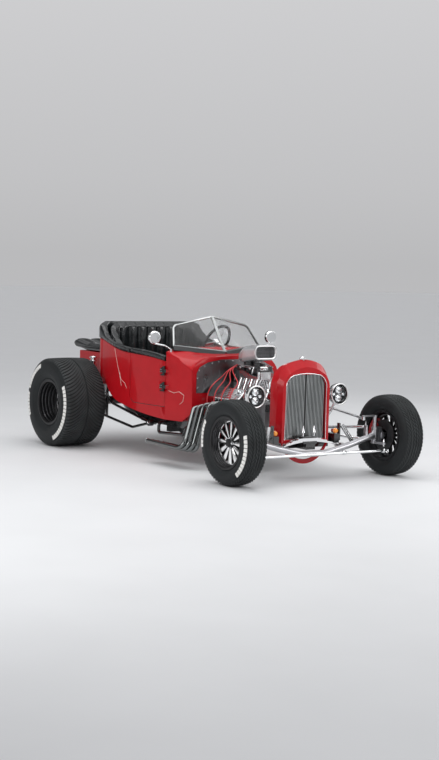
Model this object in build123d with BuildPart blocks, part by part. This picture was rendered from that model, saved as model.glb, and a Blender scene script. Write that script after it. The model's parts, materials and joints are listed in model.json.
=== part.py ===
from build123d import *
import os
from math import cos, pi, radians, sin, sqrt

os.makedirs("parts", exist_ok=True)

# An open hot rod roadster: a tub on a ladder frame, a bare eight-cylinder engine, a dropped front axle and
# very wide rear tyres. Millimetres. X forward, Y to the left, Z up, the origin on the ground below the middle.

# Wheels and stance
wheelbase = 2650.0
front_track = 1565.0
rear_track = 1525.0
front_tyre_radius = 330.0
front_tyre_width = 205.0
rear_tyre_radius = 395.0
rear_tyre_width = 416.0
bead_seat_radius = 190.5
rim_lip_radius = 207.0
tail_overhang = 550.0

front_axle_x = (wheelbase + tail_overhang - front_tyre_radius) / 2
rear_axle_x = front_axle_x - wheelbase
front_wheel_y = front_track / 2
rear_wheel_y = rear_track / 2
rear_tyre_inner_y = rear_wheel_y - rear_tyre_width / 2

# Clearances
seat_gap = 0.3
bearing_gap = 0.05
moving_gap = 5.0


def ahead(distance):
    """X of a place this far ahead of the front axle (behind it where negative)."""
    return front_axle_x + distance


def aft(distance):
    """X of a place this far behind the rear axle (ahead of it where negative)."""
    return rear_axle_x - distance


def finish(piece, name):
    """Names one sub-part and writes it."""
    piece.part.label = name
    export_step(piece.part, f"parts/{name}.step")


def tube(points, radius, bend=None):
    """A round bar along straight runs joined by arcs, or along a smooth curve where no bend is given."""
    with BuildPart() as piece:
        with BuildLine() as path:
            if bend is None:
                Spline(*points)
            else:
                FilletPolyline(*points, radius=bend)
        route = path.wires()[0]
        with BuildSketch(Plane(origin=route @ 0, z_dir=route % 0)):
            Circle(radius)
        sweep(path=route)
    return piece.part


def rod_between(start, end, radius, end_radius=None):
    """A straight round bar, tapered where a second radius is given."""
    axis = Vector(*end) - Vector(*start)
    with BuildPart() as piece:
        with BuildSketch(Plane(origin=start, z_dir=axis)):
            Circle(radius)
        if end_radius is None:
            extrude(amount=axis.length)
        else:
            with BuildSketch(Plane(origin=end, z_dir=axis)):
                Circle(end_radius)
            loft()
    return piece.part


def side_profile(points, inner_y, width):
    """A closed outline in side view, thickened outwards from y = inner_y."""
    with BuildPart() as piece:
        with BuildSketch(Plane.XZ.offset(-inner_y)):
            with BuildLine():
                Polyline(*points, close=True)
            make_face()
        extrude(amount=-width)
    return piece.part


# Places that both the frame and the body keep to
firewall_x = ahead(-1100)
tub_bottom = 352.0

# Frame: two box-section rails that kick up over the rear axle, with crossmembers
rail_inner_y = 280.0
rail_width = 50.0
rail_height = 75.0
rail_bottom = 270.0
rail_front_x = ahead(-95)
rail_rear_x = aft(390)
kick_start_x = aft(-600)
kick_end_x = aft(-260)
kick_rise = 205.0
rail_top = rail_bottom + rail_height
rear_rail_bottom = rail_bottom + kick_rise
rear_rail_top = rear_rail_bottom + rail_height
rail_outer_y = rail_inner_y + rail_width
crossmember_depth = 60.0
front_member_x = ahead(-235)
perch_top = 280.0
perch_height = 45.0
perch_half_width = 45.0
perch_front_x = ahead(-45)
step_radius = 14.0
step_y = 420.0
step_table = (  # x ahead of the front axle, z
    (-1217, 235),
    (-1622, 215),
)

rail = side_profile(
    (
        (rail_front_x, rail_bottom),
        (kick_start_x, rail_bottom),
        (kick_end_x, rear_rail_bottom),
        (rail_rear_x, rear_rail_bottom),
        (rail_rear_x, rear_rail_top),
        (kick_end_x - 20, rear_rail_top),
        (kick_start_x - 20, rail_top),
        (rail_front_x, rail_top),
    ),
    rail_inner_y,
    rail_width,
)
step_rail_z = rail_bottom + rail_height / 2
side_step = tube(
    (
        (ahead(step_table[0][0]), rail_outer_y - 10, step_rail_z),
        (ahead(step_table[0][0]), step_y, step_rail_z - 10),
        (ahead(step_table[0][0]), step_y + 6, step_table[0][1]),
        (ahead(step_table[1][0]), step_y + 6, step_table[1][1]),
        (ahead(step_table[1][0]), step_y, step_rail_z - 10),
        (ahead(step_table[1][0]), rail_outer_y - 10, step_rail_z),
    ),
    step_radius,
    30,
)
gearbox_member_height = 50.0
front_member_z = perch_top - perch_height
body_mount_side = 40.0
shock_tower_x = ahead(-112)
shock_tower_top = 430.0
shock_tower_width = 12.0
body_mount_table = (  # x, z of the rail's top, z of the mount's top
    (firewall_x - 155, rail_top, tub_bottom - seat_gap),
    (firewall_x - 265, rail_top, tub_bottom - seat_gap),
    (aft(-200), rear_rail_top, tub_bottom + 278),
)
member_table = (  # x of the rear face, z of the bottom, height, half width
    (front_member_x, front_member_z, rail_height, rail_inner_y),
    (ahead(-1640), rail_bottom - gearbox_member_height, gearbox_member_height, rail_outer_y),
    (kick_end_x, rear_rail_bottom, rail_height, rail_inner_y),
    (rail_rear_x, rear_rail_bottom, rail_height, rail_inner_y),
)
with BuildPart() as frame_rails:
    add(rail)
    add(side_step)
    for mount_x, mount_base, mount_top in body_mount_table:
        with Locations((mount_x, rail_inner_y + rail_width / 2, mount_base)):
            Box(
                body_mount_side,
                body_mount_side,
                mount_top - mount_base,
                align=(Align.CENTER, Align.CENTER, Align.MIN),
            )
    with Locations((shock_tower_x, rail_outer_y, rail_bottom + 20)):
        Box(
            30,
            shock_tower_width,
            shock_tower_top - rail_bottom - 20,
            align=(Align.CENTER, Align.MIN, Align.MIN),
        )
    mirror(about=Plane.XZ)
    for member_x, member_z, member_height, member_half in member_table:
        with Locations((member_x, 0, member_z)):
            Box(
                crossmember_depth,
                2 * member_half,
                member_height,
                align=(Align.MIN, Align.CENTER, Align.MIN),
            )
    with Locations((perch_front_x, 0, perch_top)):
        Box(
            perch_front_x - front_member_x,
            2 * perch_half_width,
            perch_height,
            align=(Align.MAX, Align.CENTER, Align.MAX),
        )
finish(frame_rails, "frame_rails")

# Dropped tube axle with kingpin bosses
axle_radius = 25.0
kingpin_y = 620.0
kingpin_radius = 12.0
kingpin_boss_radius = 24.0
kingpin_boss_height = 90.0
axle_end_z = front_tyre_radius
axle_table = (  # y, z above the ground
    (kingpin_y - 15, axle_end_z),
    (360, axle_end_z - 68),
    (120, axle_end_z - 120),
)
axle_points = [(front_axle_x, y, z) for y, z in axle_table]
axle_points += [(front_axle_x, -y, z) for y, z in reversed(axle_table)]
axle_tube = tube(axle_points, axle_radius, 260)
batwing_y = 535.0
hairpin_upper_z = 400.0
hairpin_lower_z = 300.0
batwing_thickness = 10.0
spike_height = 34.0
spring_eye_y = 300.0
spring_eye_z = 250.0
spring_x = ahead(-78)


def axle_z(y):
    """Height of the axle's centre line at a distance from the middle, on its straight runs."""
    for (outer_y, outer_z), (inner_y, inner_z) in zip(axle_table, axle_table[1:]):
        if y >= inner_y:
            return inner_z + (outer_z - inner_z) * (y - inner_y) / (outer_y - inner_y)
    return axle_table[-1][1]


with BuildPart() as front_axle:
    add(axle_tube)
    for side in (1, -1):
        with Locations((front_axle_x, side * kingpin_y, axle_end_z)):
            Cylinder(kingpin_boss_radius, kingpin_boss_height)
            Cylinder(kingpin_radius + bearing_gap, kingpin_boss_height + 2, mode=Mode.SUBTRACT)
        with Locations((front_axle_x - 12, side * batwing_y, (hairpin_upper_z + hairpin_lower_z) / 2)):
            Box(44, batwing_thickness, hairpin_upper_z - hairpin_lower_z + 30)
        with Locations((front_axle_x - 12, side * batwing_y, hairpin_upper_z + 14)):
            Cone(9, 2, spike_height, align=(Align.CENTER, Align.CENTER, Align.MIN))
        with Locations((front_axle_x - 30, side * spring_eye_y, axle_z(spring_eye_y) + 14)):
            Box(32, 26, 34)
finish(front_axle, "front_axle")

# Transverse leaf spring over the perch, its clamp with two spike nuts, and the shackles
leaf_count = 4
leaf_thickness = 8.0
leaf_width = 44.0
leaf_shortening = 62.0
spring_centre_z = perch_top + 16
spring_drop = spring_centre_z - spring_eye_z
spring_bow_radius = (spring_eye_y**2 + spring_drop**2) / (2 * spring_drop)
clamp_half_width = 55.0
clamp_spike_top = 424.0
clamp_stud_height = 88.0
spike_radius = 17.0
leaf_front_x = spring_x + leaf_width / 2
pack_top = spring_centre_z + leaf_count * leaf_thickness
with BuildPart() as leaf_spring:
    for leaf in range(leaf_count):
        inner_bow = spring_bow_radius + leaf * leaf_thickness
        with BuildSketch(Plane.YZ.offset(leaf_front_x)) as leaf_section:
            with Locations((0, spring_centre_z - spring_bow_radius)):
                Circle(inner_bow + leaf_thickness)
                Circle(inner_bow, mode=Mode.SUBTRACT)
            with Locations((0, spring_centre_z)):
                Rectangle(
                    2 * (spring_eye_y - leaf * leaf_shortening),
                    2 * spring_drop + 80,
                    mode=Mode.INTERSECT,
                )
        extrude(amount=-leaf_width)
    for side in (1, -1):
        with Locations(
            Location((spring_x, side * spring_eye_y, spring_eye_z + leaf_thickness / 2), (0, 90, 0))
        ):
            Cylinder(13, leaf_width)
        with Locations((spring_x, side * clamp_half_width, perch_top + seat_gap)):
            Cylinder(9, clamp_stud_height, align=(Align.CENTER, Align.CENTER, Align.MIN))
        with Locations((spring_x, side * clamp_half_width, perch_top + clamp_stud_height)):
            Cone(
                spike_radius,
                2,
                clamp_spike_top - perch_top - clamp_stud_height,
                align=(Align.CENTER, Align.CENTER, Align.MIN),
            )
    with Locations((spring_x, 0, perch_top + seat_gap)):
        Box(
            leaf_width + 12,
            2 * clamp_half_width + 26,
            spring_centre_z - perch_top - seat_gap + 4,
            align=(Align.CENTER, Align.CENTER, Align.MIN),
        )
    with Locations((spring_x, 0, pack_top - 2)):
        Box(leaf_width + 12, 2 * clamp_half_width + 26, 12, align=(Align.CENTER, Align.CENTER, Align.MIN))
finish(leaf_spring, "leaf_spring")

# Radius rods: a hairpin on each side of each axle, each closing on a frame pivot
rod_radius = 12.0
front_pivot_x = ahead(-900)
front_pivot_y = rail_outer_y + 26
front_pivot_z = rail_bottom + rail_height / 2
rear_hairpin_y = 385.0
rear_pivot_x = aft(-830)
rear_pivot_z = rail_bottom + 5
front_rod_x = front_axle_x - 12 - 22 - 3
with BuildPart() as radius_rods:
    for rod_z in (hairpin_upper_z, hairpin_lower_z):
        add(
            rod_between(
                (front_rod_x, batwing_y, rod_z),
                (front_pivot_x, front_pivot_y + 4, front_pivot_z),
                rod_radius,
            )
        )
    with Locations(Location((front_pivot_x, front_pivot_y, front_pivot_z), (90, 0, 0))):
        Cylinder(24, 2 * (front_pivot_y - rail_outer_y - seat_gap))
    add(
        tube(
            (
                (aft(-60), rear_hairpin_y, rear_tyre_radius + 78),
                (aft(-180), rear_hairpin_y, 385),
                (rear_pivot_x, rear_hairpin_y, rear_pivot_z),
            ),
            rod_radius,
            60,
        )
    )
    add(
        tube(
            (
                (aft(-43), rear_hairpin_y, 262),
                (aft(-536), rear_hairpin_y, 206),
                (rear_pivot_x, rear_hairpin_y, rear_pivot_z),
            ),
            rod_radius,
            60,
        )
    )
    with Locations(Location((rear_pivot_x, rear_hairpin_y, rear_pivot_z), (90, 0, 0))):
        Cylinder(28, 40)
    with Locations((rear_pivot_x, (rail_outer_y + seat_gap + rear_hairpin_y) / 2, rear_pivot_z)):
        Box(34, rear_hairpin_y - rail_outer_y - seat_gap, 30)
    mirror(about=Plane.XZ)
finish(radius_rods, "radius_rods")

# Telescopic front shocks and rear coil-over units
shock_radius = 18.0
shock_top = (shock_tower_x, rail_outer_y + shock_tower_width + 24, 412)
shock_foot = (ahead(-48), 430, axle_z(430))
shock_stud_radius = 8.0
coil_radius = 34.0
coil_y = 470.0
coil_foot_z = rear_tyre_radius + 68
coil_top_z = 800.0
coil_turns = 7
coil_x = aft(40)
with BuildPart() as shock_absorbers:
    add(rod_between(shock_foot, shock_top, shock_radius))
    shock_seat_x = front_axle_x - axle_radius - seat_gap
    add(rod_between(shock_foot, (shock_seat_x, shock_foot[1], shock_foot[2]), shock_stud_radius))
    tower_face_y = rail_outer_y + shock_tower_width + seat_gap
    add(
        rod_between(
            (shock_top[0], tower_face_y, shock_top[2] - 8),
            (shock_top[0], shock_top[1], shock_top[2] - 8),
            shock_stud_radius,
        )
    )
    add(rod_between((coil_x, coil_y, coil_foot_z), (coil_x, coil_y, coil_top_z), 22))
    coil_pitch = (coil_top_z - coil_foot_z - 40) / coil_turns
    for turn in range(coil_turns):
        with Locations((coil_x, coil_y, coil_foot_z + 20 + (turn + 0.5) * coil_pitch)):
            Torus(coil_radius - 7, 7)
    for cup_z in (coil_foot_z + 10, coil_top_z - 10):
        with Locations((coil_x, coil_y, cup_z)):
            Cylinder(coil_radius, 12)
    mirror(about=Plane.XZ)
finish(shock_absorbers, "shock_absorbers")

# Grille shell: a hollow painted surround, rounded at the top, with a curved apron below it
shell_front_x = ahead(-120)
shell_depth = 125.0
shell_wall = 12.0
shell_bottom = 285.0
shell_cut_rise = 78.0
shell_table = (  # x behind the front face, half width at the sides, z of the corners, z of the crest
    (0, 235, 770, 885),
    (55, 264, 800, 942),
    (shell_depth, 266, 790, 925),
)
opening_bottom = 310.0
opening_top = 831.0
opening_half = 203.0
opening_corner_z = 700.0


def shell_outline(half_width, corner_z, crest_z, inset, base_z):
    """Outline of the shell in front view, its top an arch with rounded corners."""
    w = half_width - inset
    top = crest_z - inset
    with BuildSketch() as outline:
        with BuildLine():
            Line((-w, base_z), (w, base_z))
            Line((w, base_z), (w, corner_z - 60))
            ThreePointArc((w, corner_z - 60), (w - 24, corner_z + 24), (w - 88, top - 40))
            ThreePointArc((w - 88, top - 40), (0, top), (88 - w, top - 40))
            ThreePointArc((88 - w, top - 40), (24 - w, corner_z + 24), (-w, corner_z - 60))
            Line((-w, corner_z - 60), (-w, base_z))
        make_face()
    return outline.sketch


def opening_outline(inset):
    """Outline of the grille opening, its sides leaning in towards rounded upper corners."""
    w = opening_half - inset
    top = opening_top - inset
    low = opening_bottom + inset
    with BuildSketch() as outline:
        with BuildLine():
            Line((-w, low), (w, low))
            Line((w, low), (w - 6, opening_corner_z))
            ThreePointArc((w - 6, opening_corner_z), (w - 32, top - 38), (w - 110, top - 4))
            Line((w - 110, top - 4), (110 - w, top - 4))
            ThreePointArc((110 - w, top - 4), (32 - w, top - 38), (6 - w, opening_corner_z))
            Line((6 - w, opening_corner_z), (-w, low))
        make_face()
    return outline.sketch


shell_lip = 14.0
apron_end_width = 12.0
apron_thickness = 36.0
apron_half_width = 232.0
apron_drop = 171.0
with BuildPart() as grille_shell:
    for depth, half_width, corner_z, crest_z in shell_table:
        with BuildSketch(Plane.YZ.offset(shell_front_x - depth)):
            add(shell_outline(half_width, corner_z, crest_z, 0, shell_bottom))
    loft(ruled=True)
    for depth, half_width, corner_z, crest_z in shell_table:
        hollow_depth = max(depth, shell_lip) + (1 if depth == shell_depth else 0)
        with BuildSketch(Plane.YZ.offset(shell_front_x - hollow_depth)):
            add(shell_outline(half_width, corner_z, crest_z, shell_wall, shell_bottom - 1))
    loft(ruled=True, mode=Mode.SUBTRACT)
    with BuildSketch(Plane.YZ.offset(shell_front_x + 1)):
        add(opening_outline(0))
    extrude(amount=-shell_lip - 3, mode=Mode.SUBTRACT)
    with BuildSketch(Plane.XZ.offset(-300)):
        with BuildLine():
            Polyline(
                (shell_front_x - shell_lip, shell_bottom - 1),
                (shell_front_x - shell_depth - 1, shell_bottom - 1),
                (shell_front_x - shell_depth - 1, shell_bottom + shell_cut_rise),
                close=True,
            )
        make_face()
    extrude(amount=600, mode=Mode.SUBTRACT)
    with BuildSketch(Plane.YZ.offset(shell_front_x)):
        with BuildLine():
            ThreePointArc(
                (-apron_half_width, shell_bottom),
                (0, shell_bottom - apron_drop),
                (apron_half_width, shell_bottom),
            )
            Line((apron_half_width, shell_bottom), (apron_half_width - apron_end_width, shell_bottom))
            ThreePointArc(
                (apron_half_width - apron_end_width, shell_bottom),
                (0, shell_bottom - apron_drop + apron_thickness),
                (apron_end_width - apron_half_width, shell_bottom),
            )
            Line((apron_end_width - apron_half_width, shell_bottom), (-apron_half_width, shell_bottom))
        make_face()
    extrude(amount=-shell_lip)
finish(grille_shell, "grille_shell")

# Grille insert: upright bars in a slim surround, behind the shell's lip
bar_count = 27
bar_width = 5.0
bar_depth = 9.0
centre_bar_width = 12.0
insert_rim = 8.0
insert_front_x = shell_front_x - shell_lip - seat_gap
bar_pitch = 2 * (opening_half - insert_rim) / (bar_count + 1)
with BuildPart() as grille_insert:
    with BuildSketch(Plane.YZ.offset(insert_front_x)) as bars:
        with Locations((0, (opening_bottom + opening_top) / 2)):
            with GridLocations(bar_pitch, 0, bar_count, 1):
                Rectangle(bar_width, opening_top - opening_bottom + 40)
            Rectangle(centre_bar_width, opening_top - opening_bottom + 40)
        add(opening_outline(-shell_lip / 2), mode=Mode.INTERSECT)
    extrude(amount=-bar_depth)
    with BuildSketch(Plane.YZ.offset(insert_front_x)):
        add(opening_outline(-shell_lip / 2))
        add(opening_outline(insert_rim - shell_lip / 2), mode=Mode.SUBTRACT)
    extrude(amount=-bar_depth)
finish(grille_insert, "grille_insert")

# Radiator core with its tanks, behind the bars
radiator_front_x = insert_front_x - bar_depth - seat_gap
radiator_depth = 60.0
radiator_half = opening_half + 4
radiator_low = front_member_z + rail_height + seat_gap
radiator_high = opening_top - 10
tank_height = 55.0
with BuildPart() as radiator:
    with Locations((radiator_front_x, 0, (radiator_low + radiator_high) / 2)):
        Box(
            radiator_depth - 16,
            2 * radiator_half - 20,
            radiator_high - radiator_low - 20,
            align=(Align.MAX, Align.CENTER, Align.CENTER),
        )
    for tank_z in (radiator_low + tank_height / 2, radiator_high - tank_height / 2):
        with Locations((radiator_front_x, 0, tank_z)):
            Box(radiator_depth, 2 * radiator_half - 90, tank_height, align=(Align.MAX, Align.CENTER, Align.CENTER))
finish(radiator, "radiator")

# Headlamps: bullet shells on curved stalks from the rails
lamp_x = ahead(-216)
lamp_y = 421.0
lamp_z = 651.0
lamp_radius = 88.0
lamp_shell_depth = 150.0
stalk_radius = 12.0
stalk_foot_x = ahead(-330)
with BuildPart() as headlamps:
    with BuildSketch(Plane.XZ.offset(-lamp_y)):
        with BuildLine():
            Line((lamp_x, lamp_z), (lamp_x, lamp_z + lamp_radius))
            Line((lamp_x, lamp_z + lamp_radius), (lamp_x - 22, lamp_z + lamp_radius))
            ThreePointArc(
                (lamp_x - 22, lamp_z + lamp_radius),
                (lamp_x - 0.68 * lamp_shell_depth, lamp_z + 0.66 * lamp_radius),
                (lamp_x - lamp_shell_depth, lamp_z),
            )
            Line((lamp_x - lamp_shell_depth, lamp_z), (lamp_x, lamp_z))
        make_face()
    revolve(axis=Axis((0, lamp_y, lamp_z), (1, 0, 0)))
    with Locations(Location((lamp_x + 1, lamp_y, lamp_z), (0, -90, 0))):
        Cylinder(lamp_radius - 9, 42, align=(Align.CENTER, Align.CENTER, Align.MIN), mode=Mode.SUBTRACT)
    add(
        tube(
            (
                (stalk_foot_x, rail_outer_y - 12, rail_top - 6),
                (stalk_foot_x, rail_outer_y + 4, rail_top + 60),
                (lamp_x - 70, lamp_y - 40, lamp_z - 150),
                (lamp_x - 62, lamp_y, lamp_z - lamp_radius + 14),
            ),
            stalk_radius,
            [50, 60],
        )
    )
    with Locations((stalk_foot_x, rail_inner_y + 25, rail_top + seat_gap)):
        Box(60, 44, 8, align=(Align.CENTER, Align.CENTER, Align.MIN))
    mirror(about=Plane.XZ)
    with Locations((stalk_foot_x, 0, rail_top + seat_gap)):
        Box(120, 2 * rail_outer_y + 20, 60, align=(Align.CENTER, Align.CENTER, Align.MAX), mode=Mode.SUBTRACT)
finish(headlamps, "headlamps")

lens_depth = 14.0
with BuildPart() as headlamp_lenses:
    with Locations(
        Location((lamp_x - 2, lamp_y, lamp_z), (0, 90, 0)),
        Location((lamp_x - 2, -lamp_y, lamp_z), (0, 90, 0)),
    ):
        Cylinder(lamp_radius - 9 - seat_gap, lens_depth, align=(Align.CENTER, Align.CENTER, Align.MAX))
finish(headlamp_lenses, "headlamp_lenses")

signal_radius = 22.0
signal_y = rail_inner_y + rail_width / 2
signal_z = rail_top + signal_radius + seat_gap
with BuildPart() as turn_signals:
    with Locations(
        Location((rail_front_x - 4, signal_y, signal_z), (0, 90, 0)),
        Location((rail_front_x - 4, -signal_y, signal_z), (0, 90, 0)),
    ):
        Cylinder(signal_radius, 62, align=(Align.CENTER, Align.CENTER, Align.MAX))
finish(turn_signals, "turn_signals")

# Tub: a cowl lofted from the firewall to the windscreen, and an open body behind it
cowl_end_x = firewall_x - 300
tub_rear_x = aft(-100)
tub_wall = 22.0
tub_side_gap = 12.0
tub_half = rear_tyre_inner_y - tub_side_gap
belly_half = tub_half + 14
cowl_half = 510.0
firewall_half = 438.0
cowl_table = (  # x, half width, z of the shoulder, z of the crown
    (firewall_x, firewall_half, 785, 907),
    (firewall_x - 165, 478, 872, 914),
    (cowl_end_x, cowl_half, 925, 962),
)
rear_corner = 118.0
rim_front_z = 842.0
rim_table = (  # x, z of the tub's rim and z of the padded roll's top, from the door's front edge to the rear
    (ahead(-1410), rim_front_z, 889),
    (ahead(-1900), 882, 932),
    (aft(-560), 898, 944),
    (aft(-400), 930, 968),
    (aft(-320), 948, 998),
    (aft(-255), 962, 1050),
    (aft(-190), 974, 1110),
    (aft(-130), 984, 1136),
    (aft(-70), 990, 1138),
)


def cowl_section(half_width, shoulder_z, crown_z, inset, base_z):
    """Cross-section of the cowl: upright sides, round shoulders and a flat-arched top."""
    w = half_width - inset
    shoulder = shoulder_z - inset / 2
    crown = crown_z - inset
    top_half = 0.56 * half_width
    edge_z = crown - 0.06 * (crown - shoulder) - 4
    turn_y = w - 0.3 * (w - top_half)
    turn_z = edge_z - 0.3 * (edge_z - shoulder)
    with BuildSketch() as outline:
        with BuildLine():
            Line((-w, base_z), (w, base_z))
            Line((w, base_z), (w, shoulder))
            ThreePointArc((w, shoulder), (turn_y, turn_z), (top_half, edge_z))
            ThreePointArc((top_half, edge_z), (0, crown), (-top_half, edge_z))
            ThreePointArc((-top_half, edge_z), (-turn_y, turn_z), (-w, shoulder))
            Line((-w, shoulder), (-w, base_z))
        make_face()
    return outline.sketch


def cowl_block(inset, front_x, base_z):
    """The cowl's loft, solid, drawn in by the inset."""
    with BuildPart() as piece:
        for section_x, half_width, shoulder_z, crown_z in cowl_table:
            with BuildSketch(Plane.YZ.offset(min(section_x, front_x))):
                add(cowl_section(half_width, shoulder_z, crown_z, inset, base_z))
        loft(ruled=True)
    return piece.part


def plan_block(inset, low_z, high_z, front_x=None):
    """The tub's outline from above, drawn in by the inset, as a prism."""
    start_x = cowl_end_x if front_x is None else front_x
    side_x = tub_rear_x + rear_corner + 320
    corner_x = tub_rear_x + rear_corner
    with BuildPart() as piece:
        with BuildSketch(Plane.XY.offset(low_z)):
            with BuildLine():
                outline = []
                for side in (1, -1):
                    outline.append(
                        (
                            (start_x, side * (cowl_half - inset)),
                            (start_x - 210, side * (cowl_half + 30 - inset)),
                            (side_x - 40, side * (belly_half - inset)),
                            (side_x - 200, side * (tub_half - inset)),
                            (corner_x, side * (tub_half - 17 - inset)),
                            (tub_rear_x + inset + 26, side * (tub_half - 48 - inset)),
                            (tub_rear_x + inset, side * (tub_half - 136 - inset)),
                        )
                    )
                for points in outline:
                    ThreePointArc(points[0], points[1], points[2])
                    ThreePointArc(points[2], points[3], points[4])
                    ThreePointArc(points[4], points[5], points[6])
                Line(outline[0][6], outline[1][6])
                Line(outline[0][0], outline[1][0])
            make_face()
        extrude(amount=high_z - low_z)
    return piece.part


def rim_line(column, shift):
    """Points of the tub's rim or of the roll's top over it, lifted by the shift."""
    return [(row[0], row[column] + shift) for row in rim_table]


def tub_side_block(rise, start_x, rim, half_width):
    """The tub's outline from the side as a prism: upswept belly below a climbing rim."""
    with BuildPart() as piece:
        with BuildSketch(Plane.XZ.offset(-half_width)):
            with BuildLine():
                Line((start_x, tub_bottom + rise), (ahead(-1500), tub_bottom + 8 + rise))
                ThreePointArc(
                    (ahead(-1500), tub_bottom + 8 + rise),
                    (aft(-740), tub_bottom + 58 + rise),
                    (aft(-520), tub_bottom + 100 + rise),
                )
                ThreePointArc(
                    (aft(-520), tub_bottom + 100 + rise),
                    (aft(-378), tub_bottom + 176 + rise),
                    (aft(-285), tub_bottom + 274 + rise),
                )
                Line((aft(-285), tub_bottom + 274 + rise), (tub_rear_x - 30, tub_bottom + 290 + rise))
                Line((tub_rear_x - 30, tub_bottom + 290 + rise), rim[-1])
                Spline(*rim)
                Line(rim[0], (start_x, rim[0][1]))
                Line((start_x, rim[0][1]), (start_x, tub_bottom + rise))
            make_face()
        extrude(amount=2 * half_width)
    return piece.part


bell_tunnel_half = 232.0
bell_tunnel_top = 570.0
bell_tunnel_end_x = firewall_x - 210
tunnel_half = 150.0
tunnel_top = 500.0
tunnel_end_x = firewall_x - 760
tunnel_table = (  # rear x, half width, top z
    (bell_tunnel_end_x, bell_tunnel_half, bell_tunnel_top),
    (tunnel_end_x, tunnel_half, tunnel_top),
)
tall = 1400.0
wide = 700.0
with BuildPart() as tub_solid:
    add(plan_block(0, 0, tall))
    add(tub_side_block(0, cowl_end_x + 1, rim_line(1, 0), wide), mode=Mode.INTERSECT)
    add(cowl_block(0, firewall_x, tub_bottom))
with BuildPart() as tub_cavity:
    add(plan_block(tub_wall, 0, tall))
    add(tub_side_block(tub_wall, cowl_end_x + 1, rim_line(1, 400), wide), mode=Mode.INTERSECT)
    add(cowl_block(tub_wall, firewall_x - tub_wall, tub_bottom + tub_wall))
    for tunnel_rear_x, half_width, top_z in tunnel_table:
        with Locations((firewall_x + 10, 0, 0)):
            Box(
                firewall_x + 10 - tunnel_rear_x,
                2 * half_width,
                top_z,
                align=(Align.MAX, Align.CENTER, Align.MIN),
                mode=Mode.SUBTRACT,
            )
chamfer_table = ((-1100, 432), (-1207, 352))  # lower front corner of the side, x past the front axle and z
with BuildPart() as tub_shell:
    add(tub_solid.part)
    add(tub_cavity.part, mode=Mode.SUBTRACT)
    for tunnel_rear_x, half_width, top_z in tunnel_table:
        with Locations((firewall_x + 10, 0, 0)):
            Box(
                firewall_x + 10 - tunnel_rear_x - tub_wall,
                2 * (half_width - tub_wall),
                top_z - tub_wall,
                align=(Align.MAX, Align.CENTER, Align.MIN),
                mode=Mode.SUBTRACT,
            )
    with BuildSketch(Plane.XZ.offset(-wide)):
        with BuildLine():
            Polyline(
                (ahead(chamfer_table[0][0]) + 1, chamfer_table[0][1]),
                (ahead(chamfer_table[1][0]), chamfer_table[1][1] - 1),
                (ahead(chamfer_table[0][0]) + 1, chamfer_table[1][1] - 1),
                close=True,
            )
        make_face()
    extrude(amount=2 * wide, mode=Mode.SUBTRACT)

# Places of the seat on its riser and of the steering box in the cowl
back_thickness = 72.0
back_front_x = aft(-640)
back_top_z = 1145.0
cushion_top_z = 672.0
cushion_base_z = 546.0
cushion_front_x = aft(-760)
cushion_rear_x = aft(-398)
cushion_half = tub_half - tub_wall - 16
back_base_z = cushion_top_z + 3
riser_board = 12.0
riser_front_x = cushion_front_x - 14
riser_depth = riser_front_x - cushion_rear_x - 20
riser_top = cushion_base_z - seat_gap
riser_half = tub_half - tub_wall + 4
riser_drop = riser_top - tub_bottom - 62
box_x = firewall_x - 100
box_z = 720.0
cowl_wall_y = 464.0
box_depth = 70.0
box_y = cowl_wall_y - tub_wall - 25 - box_depth / 2
sector_radius = 12.0
sector_hole_radius = 18.0
box_boss_radius = 32.0

# Door on the right, hinged at its front edge, and its outline cut from the tub
door_front_x = cowl_end_x - 2
door_rear_x = ahead(-1900)
door_bottom_z = 457.0
door_corner = 90.0
door_seam = 5.0
hinge_radius = 9.0
hinge_pin_radius = 4.0
hinge_heights = (630.0, 765.0)
hinge_knuckle_length = 26.0
hinge_x = door_front_x - 4
hinge_y = -(cowl_half + 16)


def door_prism(seam):
    """The door's outline from the side, drawn in by the seam, as a prism through the right wall."""
    with BuildPart() as piece:
        with BuildSketch(Plane.XZ.offset(wide)) as outline:
            front = door_front_x - seam
            rear = door_rear_x + seam
            low = door_bottom_z + seam
            corner = door_corner - seam
            with BuildLine():
                Line((front, tall), (front, low))
                Line((front, low), (rear + corner, low))
                RadiusArc((rear + corner, low), (rear, low + corner), corner)
                Line((rear, low + corner), (rear, tall))
                Line((rear, tall), (front, tall))
            make_face()
        extrude(amount=-(wide - 300))
    return piece.part


with BuildPart() as door_skin:
    add(tub_shell.part)
    add(door_prism(door_seam), mode=Mode.INTERSECT)
with BuildPart() as body_tub:
    add(tub_shell.part)
    with Locations((riser_front_x, 0, riser_top)):
        Box(riser_board, 2 * riser_half, riser_drop, align=(Align.MAX, Align.CENTER, Align.MAX))
        Box(riser_depth, 2 * riser_half, riser_board, align=(Align.MAX, Align.CENTER, Align.MAX))
    add(door_prism(0), mode=Mode.SUBTRACT)
    with Locations(Location((box_x, cowl_wall_y, box_z), (90, 0, 0))):
        Cylinder(sector_hole_radius, 4 * tub_wall, mode=Mode.SUBTRACT)
    for hinge_z in hinge_heights:
        with Locations((hinge_x, hinge_y, hinge_z)):
            Cylinder(hinge_radius, hinge_knuckle_length)
            Cylinder(hinge_pin_radius, 3 * hinge_knuckle_length)
        with Locations((hinge_x, hinge_y - hinge_radius, hinge_z)):
            Box(46, 6, hinge_knuckle_length, align=(Align.MIN, Align.MIN, Align.CENTER))
        with Locations((hinge_x + 46, hinge_y - hinge_radius, hinge_z)):
            Box(14, 44, hinge_knuckle_length, align=(Align.MAX, Align.MIN, Align.CENTER))
finish(body_tub, "body_tub")

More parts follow.
